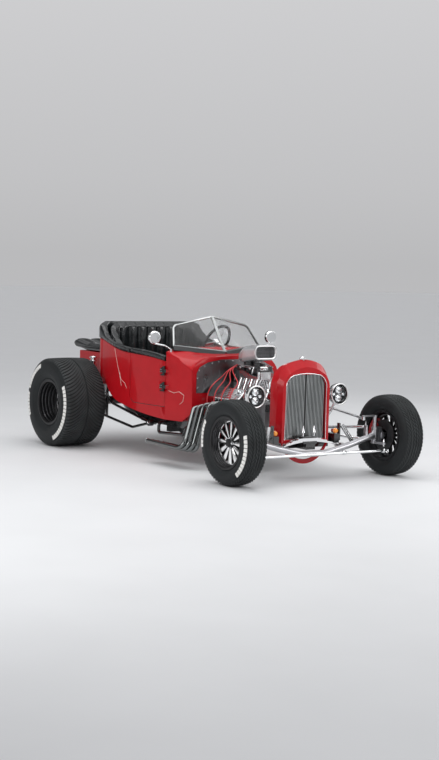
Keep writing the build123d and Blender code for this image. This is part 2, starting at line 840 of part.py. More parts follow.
with BuildPart() as door_right:
    add(door_skin.part)
    for hinge_z in hinge_heights:
        for end in (1, -1):
            knuckle_z = hinge_z + end * (hinge_knuckle_length + 1)
            with Locations((hinge_x, hinge_y, knuckle_z)):
                Cylinder(hinge_radius, hinge_knuckle_length)
            with Locations((hinge_x, hinge_y - hinge_radius, knuckle_z)):
                Box(52, 24, hinge_knuckle_length, align=(Align.MAX, Align.MIN, Align.CENTER))
        with Locations((hinge_x, hinge_y, hinge_z)):
            Cylinder(hinge_pin_radius + bearing_gap, 4 * hinge_knuckle_length, mode=Mode.SUBTRACT)
            Cylinder(hinge_radius + 1.5, hinge_knuckle_length + 1, mode=Mode.SUBTRACT)
finish(door_right, "door_right")

# Padded roll along the rim of the tub, split where the door ends
pad_overhang = 13.0
pad_inner = 46.0
with BuildPart() as pad_ring:
    add(plan_block(-pad_overhang, 0, tall, front_x=cowl_end_x - 12))
    add(plan_block(pad_inner, 0, tall, front_x=cowl_end_x + 40), mode=Mode.SUBTRACT)
    add(tub_side_block(-600, cowl_end_x + 40, rim_line(2, 0), wide), mode=Mode.INTERSECT)
    add(tub_side_block(-600, cowl_end_x + 60, rim_line(1, seat_gap), wide), mode=Mode.SUBTRACT)
with BuildPart() as side_pads:
    add(pad_ring.part)
    with Locations((door_rear_x, -wide / 2, tall / 2)):
        Box(1000, wide, tall, align=(Align.MIN, Align.CENTER, Align.CENTER), mode=Mode.SUBTRACT)
finish(side_pads, "side_pads")
with BuildPart() as door_pad:
    add(pad_ring.part)
    with Locations((door_rear_x + moving_gap, -wide / 2, tall / 2)):
        Box(1000, wide, tall, align=(Align.MIN, Align.CENTER, Align.CENTER), mode=Mode.INTERSECT)
finish(door_pad, "door_pad")

# Seat: a tall wrap-around back over a bench cushion
back_gap = pad_inner + seat_gap
wing_z = 946.0
with BuildPart() as seat_back:
    add(plan_block(back_gap, back_base_z, back_top_z))
    add(
        plan_block(back_gap + back_thickness, back_base_z - 1, back_top_z + 1, front_x=cowl_end_x + 60),
        mode=Mode.SUBTRACT,
    )
    with BuildSketch(Plane.XZ.offset(-wide)):
        with BuildLine():
            Polyline((aft(-470), wing_z), (back_front_x, wing_z - 30), (back_front_x, back_base_z))
            Polyline((back_front_x, back_base_z), (tub_rear_x, back_base_z), (tub_rear_x, back_top_z))
            Line((tub_rear_x, back_top_z), (aft(-170), back_top_z - 6))
            ThreePointArc(
                (aft(-170), back_top_z - 6),
                (aft(-250), wing_z + 130),
                (aft(-470), wing_z),
            )
        make_face()
    extrude(amount=2 * wide, mode=Mode.INTERSECT)
finish(seat_back, "seat_back")

with BuildPart() as seat_cushion:
    with BuildSketch(Plane.XY.offset(cushion_base_z)) as cushion_plan:
        with Locations((cushion_front_x, 0)):
            RectangleRounded(
                cushion_front_x - cushion_rear_x,
                2 * cushion_half,
                60,
                align=(Align.MAX, Align.CENTER),
            )
    extrude(amount=cushion_top_z - cushion_base_z)
    fillet(seat_cushion.faces().sort_by(Axis.Z)[-1].edges(), 30)
finish(seat_cushion, "seat_cushion")

# Windscreen: two flat panes that meet at a raked centre post
screen_foot = Vector(ahead(-1266), 0, 926)
screen_head = Vector(ahead(-1480), 0, 1226)
screen_corner = Vector(ahead(-1392), 452, 972)
screen_side_height = 215.0
screen_frame_width = 13.0
screen_frame_depth = 14.0
screen_corner_radius = 60.0
screen_seal_height = 44.0
screen_seal_depth = 26.0
glass_thickness = 6.0
along = (screen_corner - screen_foot).normalized()
pane_normal = along.cross(screen_head - screen_foot).normalized()
pane_plane = Plane(origin=screen_foot, x_dir=along, z_dir=pane_normal)
pane_width = (screen_corner - screen_foot).length
head_local = pane_plane.to_local_coords(screen_head)


def pane_outline(inset):
    """One pane in its own plane, its outer upper corner rounded."""
    with BuildSketch(mode=Mode.PRIVATE) as sheet:
        with BuildLine():
            Polyline(
                (0, 0),
                (pane_width, 0),
                (pane_width - 12, screen_side_height),
                (head_local.X, head_local.Y),
                close=True,
            )
        make_face()
        corner = sheet.vertices().sort_by_distance((pane_width, screen_side_height))[0]
        fillet(corner, screen_corner_radius)
        if inset:
            offset(amount=-inset, mode=Mode.REPLACE)
    return sheet.sketch


with BuildPart() as windshield_frame:
    with BuildSketch(pane_plane.offset(-screen_frame_depth / 2)):
        add(pane_outline(0))
        add(pane_outline(screen_frame_width), mode=Mode.SUBTRACT)
    extrude(amount=screen_frame_depth)
    with BuildSketch(pane_plane.offset(-screen_seal_depth / 2)):
        with Locations((pane_width / 2, 0)):
            Rectangle(pane_width - 8, screen_seal_height, align=(Align.CENTER, Align.MAX))
    extrude(amount=screen_seal_depth)
    add(cowl_block(-seat_gap, firewall_x, tub_bottom), mode=Mode.SUBTRACT)
    mirror(about=Plane.XZ)
    add(rod_between(tuple(screen_foot), tuple(screen_head), 12))
finish(windshield_frame, "windshield_frame")
with BuildPart() as windshield_glass:
    with BuildSketch(pane_plane.offset(-glass_thickness / 2)):
        add(pane_outline(screen_frame_width + seat_gap))
    extrude(amount=glass_thickness)
    mirror(about=Plane.XZ)
finish(windshield_glass, "windshield_glass")

# Round mirrors on arms beside the windscreen
mirror_centre = (ahead(-1438), 608, 1044)
mirror_radius = 57.0
mirror_thickness = 26.0
mirror_foot = (ahead(-1384), 474, 946)
with BuildPart() as mirrors:
    with Locations(Location(mirror_centre, (0, -90, 0))):
        Cylinder(mirror_radius, mirror_thickness)
        fillet(mirrors.edges().sort_by(Axis.X)[-1], 10)
    add(
        tube(
            (
                mirror_foot,
                (mirror_foot[0], mirror_foot[1] + 66, mirror_foot[2] + 34),
                (mirror_centre[0] + 6, mirror_centre[1], mirror_centre[2] - mirror_radius + 6),
            ),
            6,
            30,
        )
    )
    with Locations((mirror_foot[0], mirror_foot[1], tub_bottom)):
        Cylinder(12, mirror_foot[2] + 6 - tub_bottom, align=(Align.CENTER, Align.CENTER, Align.MIN))
    add(cowl_block(-seat_gap, firewall_x, tub_bottom - 1), mode=Mode.SUBTRACT)
    mirror(about=Plane.XZ)
finish(mirrors, "mirrors")

# Bed: an open box behind the tub, closed by a padded cover
bed_front_x = tub_rear_x - 8
bed_rear_x = aft(430)
bed_half = 400.0
bed_bottom = rear_rail_top + seat_gap
bed_top = 830.0
bed_wall = 16.0
plate_hole_spacing = 177.8
plate_hole_radius = 3.5
plate_z = 690.0
with BuildPart() as bed_box:
    with Locations(((bed_front_x + bed_rear_x) / 2, 0, bed_bottom)):
        Box(
            bed_front_x - bed_rear_x,
            2 * bed_half,
            bed_top - bed_bottom,
            align=(Align.CENTER, Align.CENTER, Align.MIN),
        )
    fillet(bed_box.edges().filter_by(Axis.Z), 24)
    offset(amount=-bed_wall, openings=bed_box.faces().sort_by(Axis.Z)[-1])
    with Locations(
        Location((bed_rear_x, plate_hole_spacing / 2, plate_z), (0, 90, 0)),
        Location((bed_rear_x, -plate_hole_spacing / 2, plate_z), (0, 90, 0)),
    ):
        Cylinder(plate_hole_radius, 60, mode=Mode.SUBTRACT)
finish(bed_box, "bed_box")
cover_top = 945.0
cover_rear_x = aft(tail_overhang)
cover_half = bed_half + 22
with BuildPart() as bed_roll:
    with BuildSketch(Plane.XZ.offset(-cover_half)):
        with BuildLine():
            Line((tub_rear_x - 16, bed_top + seat_gap), (cover_rear_x + 60, bed_top + seat_gap))
            ThreePointArc(
                (cover_rear_x + 60, bed_top + seat_gap),
                (cover_rear_x, bed_top + 62),
                (cover_rear_x + 62, cover_top),
            )
            Line((cover_rear_x + 62, cover_top), (tub_rear_x - 16, cover_top - 30))
            Line((tub_rear_x - 16, cover_top - 30), (tub_rear_x - 16, bed_top + seat_gap))
        make_face()
    extrude(amount=2 * cover_half)
    fillet(bed_roll.edges().filter_by(Axis.X).group_by(Axis.Z)[-1], 30)
finish(bed_roll, "bed_roll")

tail_lamp_radius = 45.0
with BuildPart() as tail_lamps:
    with Locations(
        Location((bed_rear_x - seat_gap, bed_half - 80, 760), (0, -90, 0)),
        Location((bed_rear_x - seat_gap, 80 - bed_half, 760), (0, -90, 0)),
    ):
        Cylinder(tail_lamp_radius, 30, align=(Align.CENTER, Align.CENTER, Align.MIN))
finish(tail_lamps, "tail_lamps")

# Engine: a ninety degree eight-cylinder block with heads and pan
crank_z = 340.0
engine_rear_x = firewall_x + 14
engine_length = 520.0
engine_front_x = engine_rear_x + engine_length
deck_distance = 230.0
deck_half = 85.0
head_thickness = 100.0
head_half = 92.0
pan_bottom = 150.0
pan_half = 118.0
cover_length = 470.0


def bank_point(out, across):
    """Y and Z of a point on the left bank: out along the cylinders, across the deck towards the outside."""
    root = sqrt(0.5)
    return ((out + across) * root, crank_z + (out - across) * root)


block_right = [
    (pan_half, pan_bottom),
    (pan_half, 262),
    (150, 270),
    (150, 340),
    bank_point(deck_distance, deck_half),
    bank_point(deck_distance, -deck_half),
    (60, 560),
]
head_corners = [
    bank_point(deck_distance - 1, head_half),
    bank_point(deck_distance + head_thickness - 24, head_half),
    bank_point(deck_distance + head_thickness, head_half - 24),
    bank_point(deck_distance + head_thickness, -head_half),
    bank_point(deck_distance - 1, -head_half),
]
with BuildPart() as engine_block:
    with BuildSketch(Plane.YZ.offset(engine_front_x)):
        with BuildLine():
            Polyline(*block_right, *[(-y, z) for y, z in reversed(block_right)], close=True)
        make_face()
    extrude(amount=-engine_length)
    with BuildSketch(Plane.YZ.offset(engine_front_x - 10)):
        with BuildLine():
            Polyline(*head_corners, close=True)
        make_face()
        mirror(about=Plane.YZ)
    extrude(amount=-(engine_length - 20))
    with BuildSketch(Plane.XZ.offset(-pan_half - 1)):
        with BuildLine():
            Polyline(
                (engine_front_x + 1, pan_bottom - 1),
                (engine_front_x + 1, 240),
                (engine_front_x - 170, 240),
                (engine_front_x - 200, pan_bottom - 1),
                close=True,
            )
        make_face()
    extrude(amount=2 * pan_half + 2, mode=Mode.SUBTRACT)
    with BuildSketch(Plane.YZ.offset(engine_front_x - 1)):
        with Locations((0, crank_z + 60)):
            RectangleRounded(210, 280, 60)
    extrude(amount=46)
finish(engine_block, "engine_block")

valve_cover_height = 74.0
with BuildPart() as valve_covers:
    cover_plane = Plane(
        origin=(
            (engine_front_x + engine_rear_x) / 2,
            *bank_point(deck_distance + head_thickness + seat_gap, 0),
        ),
        x_dir=(1, 0, 0),
        z_dir=(0, 1, 1),
    )
    with BuildSketch(cover_plane):
        RectangleRounded(cover_length, 2 * head_half - 40, 30)
    extrude(amount=valve_cover_height, taper=6)
    fillet(valve_covers.faces().sort_by(Axis.Z)[-1].edges(), 14)
    with BuildSketch(cover_plane):
        RectangleRounded(cover_length + 14, 2 * head_half - 22, 34)
    extrude(amount=8)
    mirror(about=Plane.XZ)
finish(valve_covers, "valve_covers")

# Tall intake with two carburettors in line, and the chrome scoop on them
intake_front_x = ahead(-655)
intake_rear_x = ahead(-1000)
intake_base_z = 561.0
plenum_top = 800.0
carb_top = 872.0
carb_table = (ahead(-765), ahead(-900))
distributor_x = engine_rear_x + 52
distributor_top = 800.0
with BuildPart() as intake_manifold:
    with BuildSketch(Plane.XY.offset(plenum_top)):
        with Locations(((intake_front_x + intake_rear_x) / 2, 0)):
            RectangleRounded(intake_front_x - intake_rear_x - 40, 130, 24)
    extrude(amount=-62)
    for runner in range(4):
        runner_x = intake_rear_x + 58 + runner * 76
        for side in (1, -1):
            add(
                rod_between(
                    (runner_x, side * 38, plenum_top - 50),
                    (runner_x, side * 96, 588),
                    23,
                )
            )
    with BuildSketch(Plane.YZ.offset(intake_front_x)):
        with BuildLine():
            Polyline((-58, intake_base_z), (58, intake_base_z), (120, 612), (84, 636), (-84, 636), (-120, 612), close=True)
        make_face()
    extrude(amount=-(intake_front_x - distributor_x + 20))
    with Locations((distributor_x, 0, intake_base_z)):
        Cylinder(24, 150, align=(Align.CENTER, Align.CENTER, Align.MIN))
    with Locations((distributor_x, 0, 690)):
        Cylinder(52, distributor_top - 690, align=(Align.CENTER, Align.CENTER, Align.MIN))
finish(intake_manifold, "intake_manifold")

with BuildPart() as carburettors:
    for carb_x in carb_table:
        with Locations((carb_x, 0, plenum_top + seat_gap)):
            Box(118, 140, 30, align=(Align.CENTER, Align.CENTER, Align.MIN))
            Box(100, 190, 46, align=(Align.CENTER, Align.CENTER, Align.MIN))
        with Locations((carb_x, 0, carb_top)):
            Cylinder(52, 40, align=(Align.CENTER, Align.CENTER, Align.MAX))
    with Locations((sum(carb_table) / 2, 0, plenum_top + 12)):
        Box(90, 60, 10)
finish(carburettors, "carburettors")

scoop_mouth_x = ahead(-679)
scoop_length = 290.0
scoop_wall = 4.0
scoop_base_z = carb_top + seat_gap
scoop_table = (  # x behind the mouth, half width, z of the floor, z of the roof, corner radius
    (0, 113, 903, 1025, 42),
    (60, 108, 893, 1020, 40),
    (190, 104, scoop_base_z, 1004, 38),
    (scoop_length, 70, scoop_base_z, 950, 30),
)


def scoop_loft(inset, table):
    """The scoop as a loft of rounded rectangles, drawn in by the inset."""
    with BuildPart() as piece:
        for depth, half_width, floor_z, roof_z, corner in table:
            with BuildSketch(Plane.YZ.offset(scoop_mouth_x - depth)):
                with Locations((0, (floor_z + roof_z) / 2)):
                    RectangleRounded(2 * (half_width - inset), roof_z - floor_z - 2 * inset, corner - inset)
        loft(ruled=True)
    return piece.part


with BuildPart() as air_scoop:
    add(scoop_loft(0, scoop_table))
    inner = [
        (-1, *scoop_table[0][1:]),
        *scoop_table[1:3],
        (scoop_length - scoop_wall, *scoop_table[3][1:]),
    ]
    add(scoop_loft(scoop_wall, inner), mode=Mode.SUBTRACT)
finish(air_scoop, "air_scoop")

# Spark plug wires: one from the distributor cap over the valve cover to each plug's boot
wire_radius = 4.0
boot_radius = 8.0
boot_length = 40.0
plug_table = ((-605, -650), (-715, -764), (-825, -866), (-935, -966))  # plug x and the wire's own x above it
plug_y, plug_z = bank_point(deck_distance + 82, head_half)
boot_reach = boot_length * sqrt(0.5)
boot_end_y = plug_y + boot_reach
boot_end_z = plug_z - boot_reach
with BuildPart() as plug_wires:
    for order, (plug_ahead, drop_ahead) in enumerate(plug_table):
        plug_x = ahead(plug_ahead)
        drop_x = ahead(drop_ahead)
        cap_x = distributor_x + 30 - 20 * order
        spread = 9 * order
        with Locations((cap_x, 30, distributor_top + seat_gap)):
            Cylinder(boot_radius - 1, 20, align=(Align.CENTER, Align.CENTER, Align.MIN))
        add(
            tube(
                (
                    (cap_x, 30, distributor_top + 14),
                    (cap_x + 4, 64, distributor_top + 34 - spread),
                    (cap_x + 42 - spread, 138, 800 - spread),
                    ((cap_x + drop_x) / 2, 205, 762 - spread),
                    (drop_x, 285, 712),
                    (drop_x, 356, 640),
                    (drop_x, 378, 560),
                    ((drop_x + plug_x) / 2, 372, 492),
                    (plug_x, boot_end_y - 2, boot_end_z + 2),
                ),
                wire_radius,
            )
        )
        add(
            rod_between(
                (plug_x, plug_y + seat_gap, plug_z - seat_gap),
                (plug_x, boot_end_y, boot_end_z),
                boot_radius,
            )
        )
    mirror(about=Plane.XZ)
finish(plug_wires, "plug_wires")

# Exhaust headers: four tubes a side that sweep down, bend together and run rearwards
header_radius = 18.0
header_table = (  # port x, top x, top z, foot x, foot y, foot z, tip x
    (-660, -802, 540, -838, 560, 150, -1336),
    (-770, -887, 522, -842, 600, 156, -1352),
    (-880, -960, 503, -846, 640, 164, -1368),
    (-990, -1033, 484, -850, 680, 172, -1392),
)
port_y, port_z = bank_point(deck_distance + 38, head_half)
header_sides = []
for port_x, top_x, top_z, foot_x, foot_y, foot_z, tip_x in header_table:
    header_sides.append(
        tube(
            (
                (ahead(port_x), port_y + 2, port_z - 2),
                (ahead(port_x) - 20, port_y + 70, top_z + 20),
                (ahead(top_x), 462, top_z),
                (ahead(foot_x), foot_y, foot_z),
                (ahead(tip_x), foot_y, foot_z + 10),
            ),
            header_radius,
            [30, 44, 60],
        )
    )
flange_plane = Plane(
    origin=(ahead(-825), port_y, port_z), x_dir=(1, 0, 0), z_dir=(0, 1, -1)
)
with BuildPart() as headers:
    for header_side in header_sides:
        add(header_side)
    with BuildSketch(flange_plane.offset(seat_gap)):
        Rectangle(420, 52)
    extrude(amount=9)
    with BuildSketch(flange_plane.offset(seat_gap)):
        Rectangle(600, 300)
    extrude(amount=-60, mode=Mode.SUBTRACT)
    mirror(about=Plane.XZ)
finish(headers, "headers")

# Fan, pulleys and water pump at the front of the engine
fan_x = engine_front_x + 120
fan_z = 530.0
fan_radius = 170.0
blade_count = 6
pump_x = engine_front_x + 45 + seat_gap
with BuildPart() as fan_and_pulleys:
    with Locations(Location((fan_x, 0, fan_z), (0, 90, 0))):
        Cylinder(42, 26)
        Cylinder(70, 18, align=(Align.CENTER, Align.CENTER, Align.MAX))
    with Locations(Location((pump_x, 0, fan_z), (0, 90, 0))):
        Cylinder(30, fan_x - pump_x, align=(Align.CENTER, Align.CENTER, Align.MIN))
    with BuildSketch(Plane.YZ.offset(fan_x + 4)):
        with Locations((0, fan_z)):
            with PolarLocations(fan_radius / 2 + 20, blade_count):
                Rectangle(fan_radius - 40, 62)
    extrude(amount=6)
    with Locations(Location((pump_x, 0, crank_z), (0, 90, 0))):
        Cylinder(78, 56, align=(Align.CENTER, Align.CENTER, Align.MIN))
    with Locations((pump_x + 30, 0, (fan_z + crank_z) / 2)):
        Box(12, 60, fan_z - crank_z)
finish(fan_and_pulleys, "fan_and_pulleys")

# Upper radiator hose of bright tube
hose_radius = 20.0
radiator_rear_x = radiator_front_x - radiator_depth
with BuildPart() as radiator_hose:
    add(
        tube(
            (
                (radiator_rear_x - seat_gap, 0, 800),
                (ahead(-470), 0, 800),
                (ahead(-590), 0, 740),
                (ahead(-612), 0, 660),
            ),
            hose_radius,
            [90, 60],
        )
    )
    with Locations((ahead(-620), 0, 634)):
        Cylinder(34, 32, align=(Align.CENTER, Align.CENTER, Align.MIN))
    with Locations((intake_front_x + seat_gap, 0, 600)):
        Box(60, 90, 72, align=(Align.MIN, Align.CENTER, Align.CENTER))
finish(radiator_hose, "radiator_hose")

# Gearbox with its bell housing, and the propeller shaft
bell_radius = 185.0
gearbox_end_x = firewall_x - 620
shaft_radius = 38.0
with BuildPart() as gearbox:
    with BuildSketch(Plane.YZ.offset(engine_rear_x - seat_gap)):
        with Locations((0, crank_z)):
            Circle(bell_radius)
    with BuildSketch(Plane.YZ.offset(firewall_x - 170)):
        with Locations((0, crank_z)):
            Circle(112)
    loft()
    with BuildSketch(Plane.YZ.offset(firewall_x - 169)):
        with Locations((0, crank_z)):
            RectangleRounded(224, 210, 60)
    with BuildSketch(Plane.YZ.offset(firewall_x - 480)):
        with Locations((0, crank_z)):
            RectangleRounded(170, 170, 60)
    loft()
    add(rod_between((firewall_x - 479, 0, crank_z), (gearbox_end_x, 0, crank_z), 62, 44))
    add(rod_between((gearbox_end_x + 1, 0, crank_z), (aft(-212), 0, rear_tyre_radius), shaft_radius))
finish(gearbox, "gearbox")

# Live rear axle
diff_radius = 145.0
axle_tube_radius = 38.0
rear_spindle_radius = 20.0
rear_housing_end = 560.0
wheel_mount_y = 780.0
diff_half_width = 150.0
pinion_reach = 208.8
drum_radius = 88.0
with BuildPart() as rear_axle:
    with BuildSketch(Plane.XY.offset(rear_tyre_radius)):
        with BuildLine():
            housing = [
                (axle_tube_radius, diff_half_width),
                (axle_tube_radius, rear_housing_end - 52),
                (drum_radius, rear_housing_end - 52),
                (drum_radius, rear_housing_end),
                (rear_spindle_radius, rear_housing_end),
                (rear_spindle_radius, wheel_mount_y),
                (0, wheel_mount_y),
            ]
            mirrored = [(x, -y) for x, y in reversed(housing)]
            right_side = [(rear_axle_x + x, y) for x, y in housing]
            left_side = [(rear_axle_x + x, y) for x, y in mirrored]
            Polyline(*right_side, *left_side)
            ThreePointArc(left_side[-1], (rear_axle_x + diff_radius, 0), right_side[0])
        make_face()
    revolve(axis=Axis((rear_axle_x, 0, rear_tyre_radius), (0, 1, 0)))
    with Locations(Location((aft(-pinion_reach), 0, rear_tyre_radius), (0, -90, 0))):
        Cylinder(62, pinion_reach - 124, align=(Align.CENTER, Align.CENTER, Align.MIN))
    for side in (1, -1):
        with Locations((aft(-34), side * (rear_hairpin_y - 24), rear_tyre_radius)):
            Box(40, 16, 2 * 140)
        with Locations((coil_x, side * coil_y, coil_foot_z - seat_gap)):
            Box(60, 60, 34, align=(Align.CENTER, Align.CENTER, Align.MAX))
finish(rear_axle, "rear_axle")

# Steering: wheel, column and box inside the cowl, drop arm outside it and a drag link to the left knuckle
steer_centre = Vector(ahead(-1720), 220, 980)
arm_length = 120.0
drag_arm_z = 470.0
drag_y = kingpin_y - arm_length
box_centre = Vector(box_x, box_y, box_z)
column_axis = (box_centre - steer_centre).normalized()
column_radius = 22.0
wheel_stub_radius = 9.0
with BuildPart() as box_boss:
    with Locations(Location((box_x, box_y, box_z), (-90, 0, 0))):
        Cylinder(box_boss_radius, 2 * box_depth, align=(Align.CENTER, Align.CENTER, Align.MIN))
    add(cowl_block(tub_wall + seat_gap, firewall_x - tub_wall, tub_bottom), mode=Mode.INTERSECT)
with BuildPart() as steering_column:
    with BuildSketch(Plane(origin=steer_centre + column_axis * 34, z_dir=column_axis)):
        Circle(column_radius)
    extrude(amount=(box_centre - steer_centre).length - 40)
    with BuildSketch(Plane(origin=steer_centre - column_axis * 10, z_dir=column_axis)):
        Circle(wheel_stub_radius)
    extrude(amount=50)
    with Locations(tuple(box_centre)):
        Box(90, box_depth, 90)
    add(box_boss.part)
    with Locations(Location((box_x, box_y - 16, box_z), (-90, 0, 0))):
        Cylinder(
            sector_radius + bearing_gap,
            120,
            align=(Align.CENTER, Align.CENTER, Align.MIN),
            mode=Mode.SUBTRACT,
        )
finish(steering_column, "steering_column")

wheel_rim_radius = 165.0
grip_radius = 13.0
wheel_plane = Plane(origin=steer_centre, z_dir=column_axis)
with BuildPart() as steering_wheel:
    with BuildSketch(Plane(origin=steer_centre, x_dir=wheel_plane.x_dir, z_dir=wheel_plane.y_dir)) as grip:
        with Locations((wheel_rim_radius, 0)):
            Circle(grip_radius)
    revolve(axis=Axis(tuple(steer_centre), tuple(column_axis)))
    with BuildSketch(wheel_plane.offset(-4)):
        with PolarLocations(wheel_rim_radius / 2 + 4, 3, start_angle=90):
            Rectangle(wheel_rim_radius - 22, 26)
    extrude(amount=6)
    with BuildSketch(wheel_plane.offset(-16)):
        Circle(34)
    extrude(amount=46)
    with BuildSketch(wheel_plane.offset(-12)):
        Circle(wheel_stub_radius + bearing_gap)
    extrude(amount=60, mode=Mode.SUBTRACT)
finish(steering_wheel, "steering_wheel")

link_eye_radius = 15.0
arm_face_y = cowl_wall_y + 20
sector_length = arm_face_y - box_y + 10
with BuildPart() as pitman_arm:
    with Locations(Location((box_x, arm_face_y, box_z), (90, 0, 0))):
        Cylinder(sector_radius, sector_length, align=(Align.CENTER, Align.CENTER, Align.MIN))
    with BuildSketch(Plane.XZ.offset(-arm_face_y)):
        with Locations((box_x, box_z)):
            Circle(20)
        with Locations((box_x, box_z - arm_length)):
            Circle(15)
        with Locations((box_x, box_z - arm_length / 2)):
            Rectangle(22, arm_length)
    extrude(amount=-14)
finish(pitman_arm, "pitman_arm")

link_rear_z = box_z - arm_length
link_radius = 10.0
with BuildPart() as drag_link:
    add(
        rod_between(
            (front_axle_x, drag_y, drag_arm_z),
            (box_x, drag_y + 20, link_rear_z),
            link_radius,
        )
    )
    with Locations((front_axle_x, drag_y, drag_arm_z)):
        Cylinder(link_eye_radius, 24)
        Cylinder(6 + bearing_gap, 40, mode=Mode.SUBTRACT)
    with Locations(Location((box_x, drag_y + 16, link_rear_z), (90, 0, 0))):
        Cylinder(link_eye_radius, 26)
finish(drag_link, "drag_link")

# Front knuckles with spindles and steering arms, joined by the tie rod ahead of the axle
knuckle_plate = 22.0
boss_gap = 1.0
spindle_radius = 18.0
tie_rod_x = ahead(120)
tie_rod_z = 220.0
tie_rod_radius = 12.0
tie_stud_radius = 6.0
caliper_angle = 155.0
caliper_span = 27.0
caliper_inner = 92.0
caliper_outer = 160.0
caliper_half = 32.0
caliper_plate_y = 684.0
front_disc_y = front_wheel_y + 17.5
rotor_radius = 140.0
rotor_thickness = 18.0
rotor_y = front_wheel_y - 66


def caliper_sector(inner_radius, outer_radius, spread):
    """A ring sector about the front hub in side view, at the caliper's angle."""
    rays = [radians(caliper_angle - spread), radians(caliper_angle + spread)]
    with BuildSketch() as outline:
        with Locations((front_axle_x, axle_end_z)):
            Circle(outer_radius)
            Circle(inner_radius, mode=Mode.SUBTRACT)
        with BuildLine():
            corners = [(front_axle_x + 300 * cos(ray), axle_end_z + 300 * sin(ray)) for ray in rays]
            Polyline((front_axle_x, axle_end_z), *corners, close=True)
        make_face(mode=Mode.INTERSECT)
    return outline.sketch


def brake_caliper():
    """The left brake caliper over its slot for the rotor, on a plate from the knuckle's hub."""
    rotor_middle = rotor_y + rotor_thickness / 2
    with BuildPart() as piece:
        with BuildSketch(Plane.XZ.offset(caliper_half - rotor_middle)):
            add(caliper_sector(caliper_inner, caliper_outer, caliper_span))
        extrude(amount=-2 * caliper_half)
        with Locations(Location((front_axle_x, rotor_middle, axle_end_z), (90, 0, 0))):
            Cylinder(rotor_radius + moving_gap, rotor_thickness + 2 * moving_gap, mode=Mode.SUBTRACT)
        with BuildSketch(Plane.XZ.offset(-caliper_plate_y)):
            add(caliper_sector(28, caliper_outer - 30, caliper_span - 8))
        extrude(amount=-12)
    return piece.part


def knuckle(side, with_drag_arm):
    """One steering knuckle: a fork round the axle's boss, the spindle, the arm and the brake caliper."""
    upper = axle_end_z + kingpin_boss_height / 2 + boss_gap
    lower = axle_end_z - kingpin_boss_height / 2 - boss_gap
    with BuildPart() as piece:
        with Locations((front_axle_x, kingpin_y, axle_end_z)):
            Cylinder(kingpin_radius, kingpin_boss_height + 2 * knuckle_plate)
        with BuildSketch(Plane.XY.offset(upper)):
            with Locations((front_axle_x, kingpin_y)):
                Circle(kingpin_boss_radius + 2)
            with Locations((front_axle_x, kingpin_y + 30)):
                Rectangle(46, 56)
        extrude(amount=knuckle_plate)
        with BuildSketch(Plane.XY.offset(lower)):
            with Locations((front_axle_x, kingpin_y)):
                Circle(kingpin_boss_radius + 2)
            with Locations((front_axle_x, kingpin_y + 30)):
                Rectangle(46, 56)
            with BuildLine():
                Polyline(
                    (front_axle_x, kingpin_y - 18),
                    (tie_rod_x, kingpin_y - 14),
                    (tie_rod_x, kingpin_y + 14),
                    (front_axle_x, kingpin_y + 24),
                    close=True,
                )
            make_face()
            with Locations((tie_rod_x, kingpin_y)):
                Circle(17)
        extrude(amount=-knuckle_plate + 4)
        with Locations((tie_rod_x, kingpin_y, lower)):
            Cylinder(tie_stud_radius + (bearing_gap if side > 0 else 2.0), 80, mode=Mode.SUBTRACT)
        with Locations((front_axle_x, kingpin_y + kingpin_boss_radius + moving_gap, axle_end_z)):
            Box(46, 30, upper - lower + 2, align=(Align.CENTER, Align.MIN, Align.CENTER))
        with Locations(Location((front_axle_x, kingpin_y + 50, axle_end_z), (-90, 0, 0))):
            Cylinder(spindle_radius, front_disc_y - kingpin_y - 50, align=(Align.CENTER, Align.CENTER, Align.MIN))
        with Locations(Location((front_axle_x, kingpin_y + 55, axle_end_z), (-90, 0, 0))):
            Cylinder(34, 22, align=(Align.CENTER, Align.CENTER, Align.MIN))
        add(brake_caliper())
        if with_drag_arm:
            with Locations((front_axle_x, kingpin_y, upper + knuckle_plate - 2)):
                Cylinder(16, drag_arm_z + 26 - upper - knuckle_plate, align=(Align.CENTER, Align.CENTER, Align.MIN))
            with Locations((front_axle_x, (kingpin_y + drag_y) / 2, drag_arm_z + 20)):
                Box(24, arm_length, 12)
            with Locations((front_axle_x, drag_y, drag_arm_z + 20)):
                Cylinder(15, 12)
            with Locations((front_axle_x, drag_y, drag_arm_z - 14)):
                Cylinder(6, 36, align=(Align.CENTER, Align.CENTER, Align.MIN))
    return piece.part if side > 0 else mirror(piece.part, about=Plane.XZ)


for knuckle_side, knuckle_name in ((1, "knuckle_left"), (-1, "knuckle_right")):
    with BuildPart() as steering_knuckle:
        add(knuckle(knuckle_side, knuckle_side > 0))
    finish(steering_knuckle, knuckle_name)

tie_end_y = kingpin_y
with BuildPart() as tie_rod:
    add(rod_between((tie_rod_x, -tie_end_y, tie_rod_z), (tie_rod_x, tie_end_y, tie_rod_z), tie_rod_radius))
    for side in (1, -1):
        with Locations((tie_rod_x, side * tie_end_y, tie_rod_z)):
            Cylinder(17, 30)
        with Locations((tie_rod_x, side * tie_end_y, tie_rod_z)):
            Cylinder(tie_stud_radius, 68, align=(Align.CENTER, Align.CENTER, Align.MIN))
        with Locations((tie_rod_x, side * tie_end_y, tie_rod_z + 68)):
            Cone(11, 2, 26, align=(Align.CENTER, Align.CENTER, Align.MIN))
    with Locations(Location((tie_rod_x, 210, tie_rod_z), (90, 0, 0))):
        Cylinder(18, 26)
finish(tie_rod, "tie_rod")

# Wheels and tyres
rim_flange = 5.0


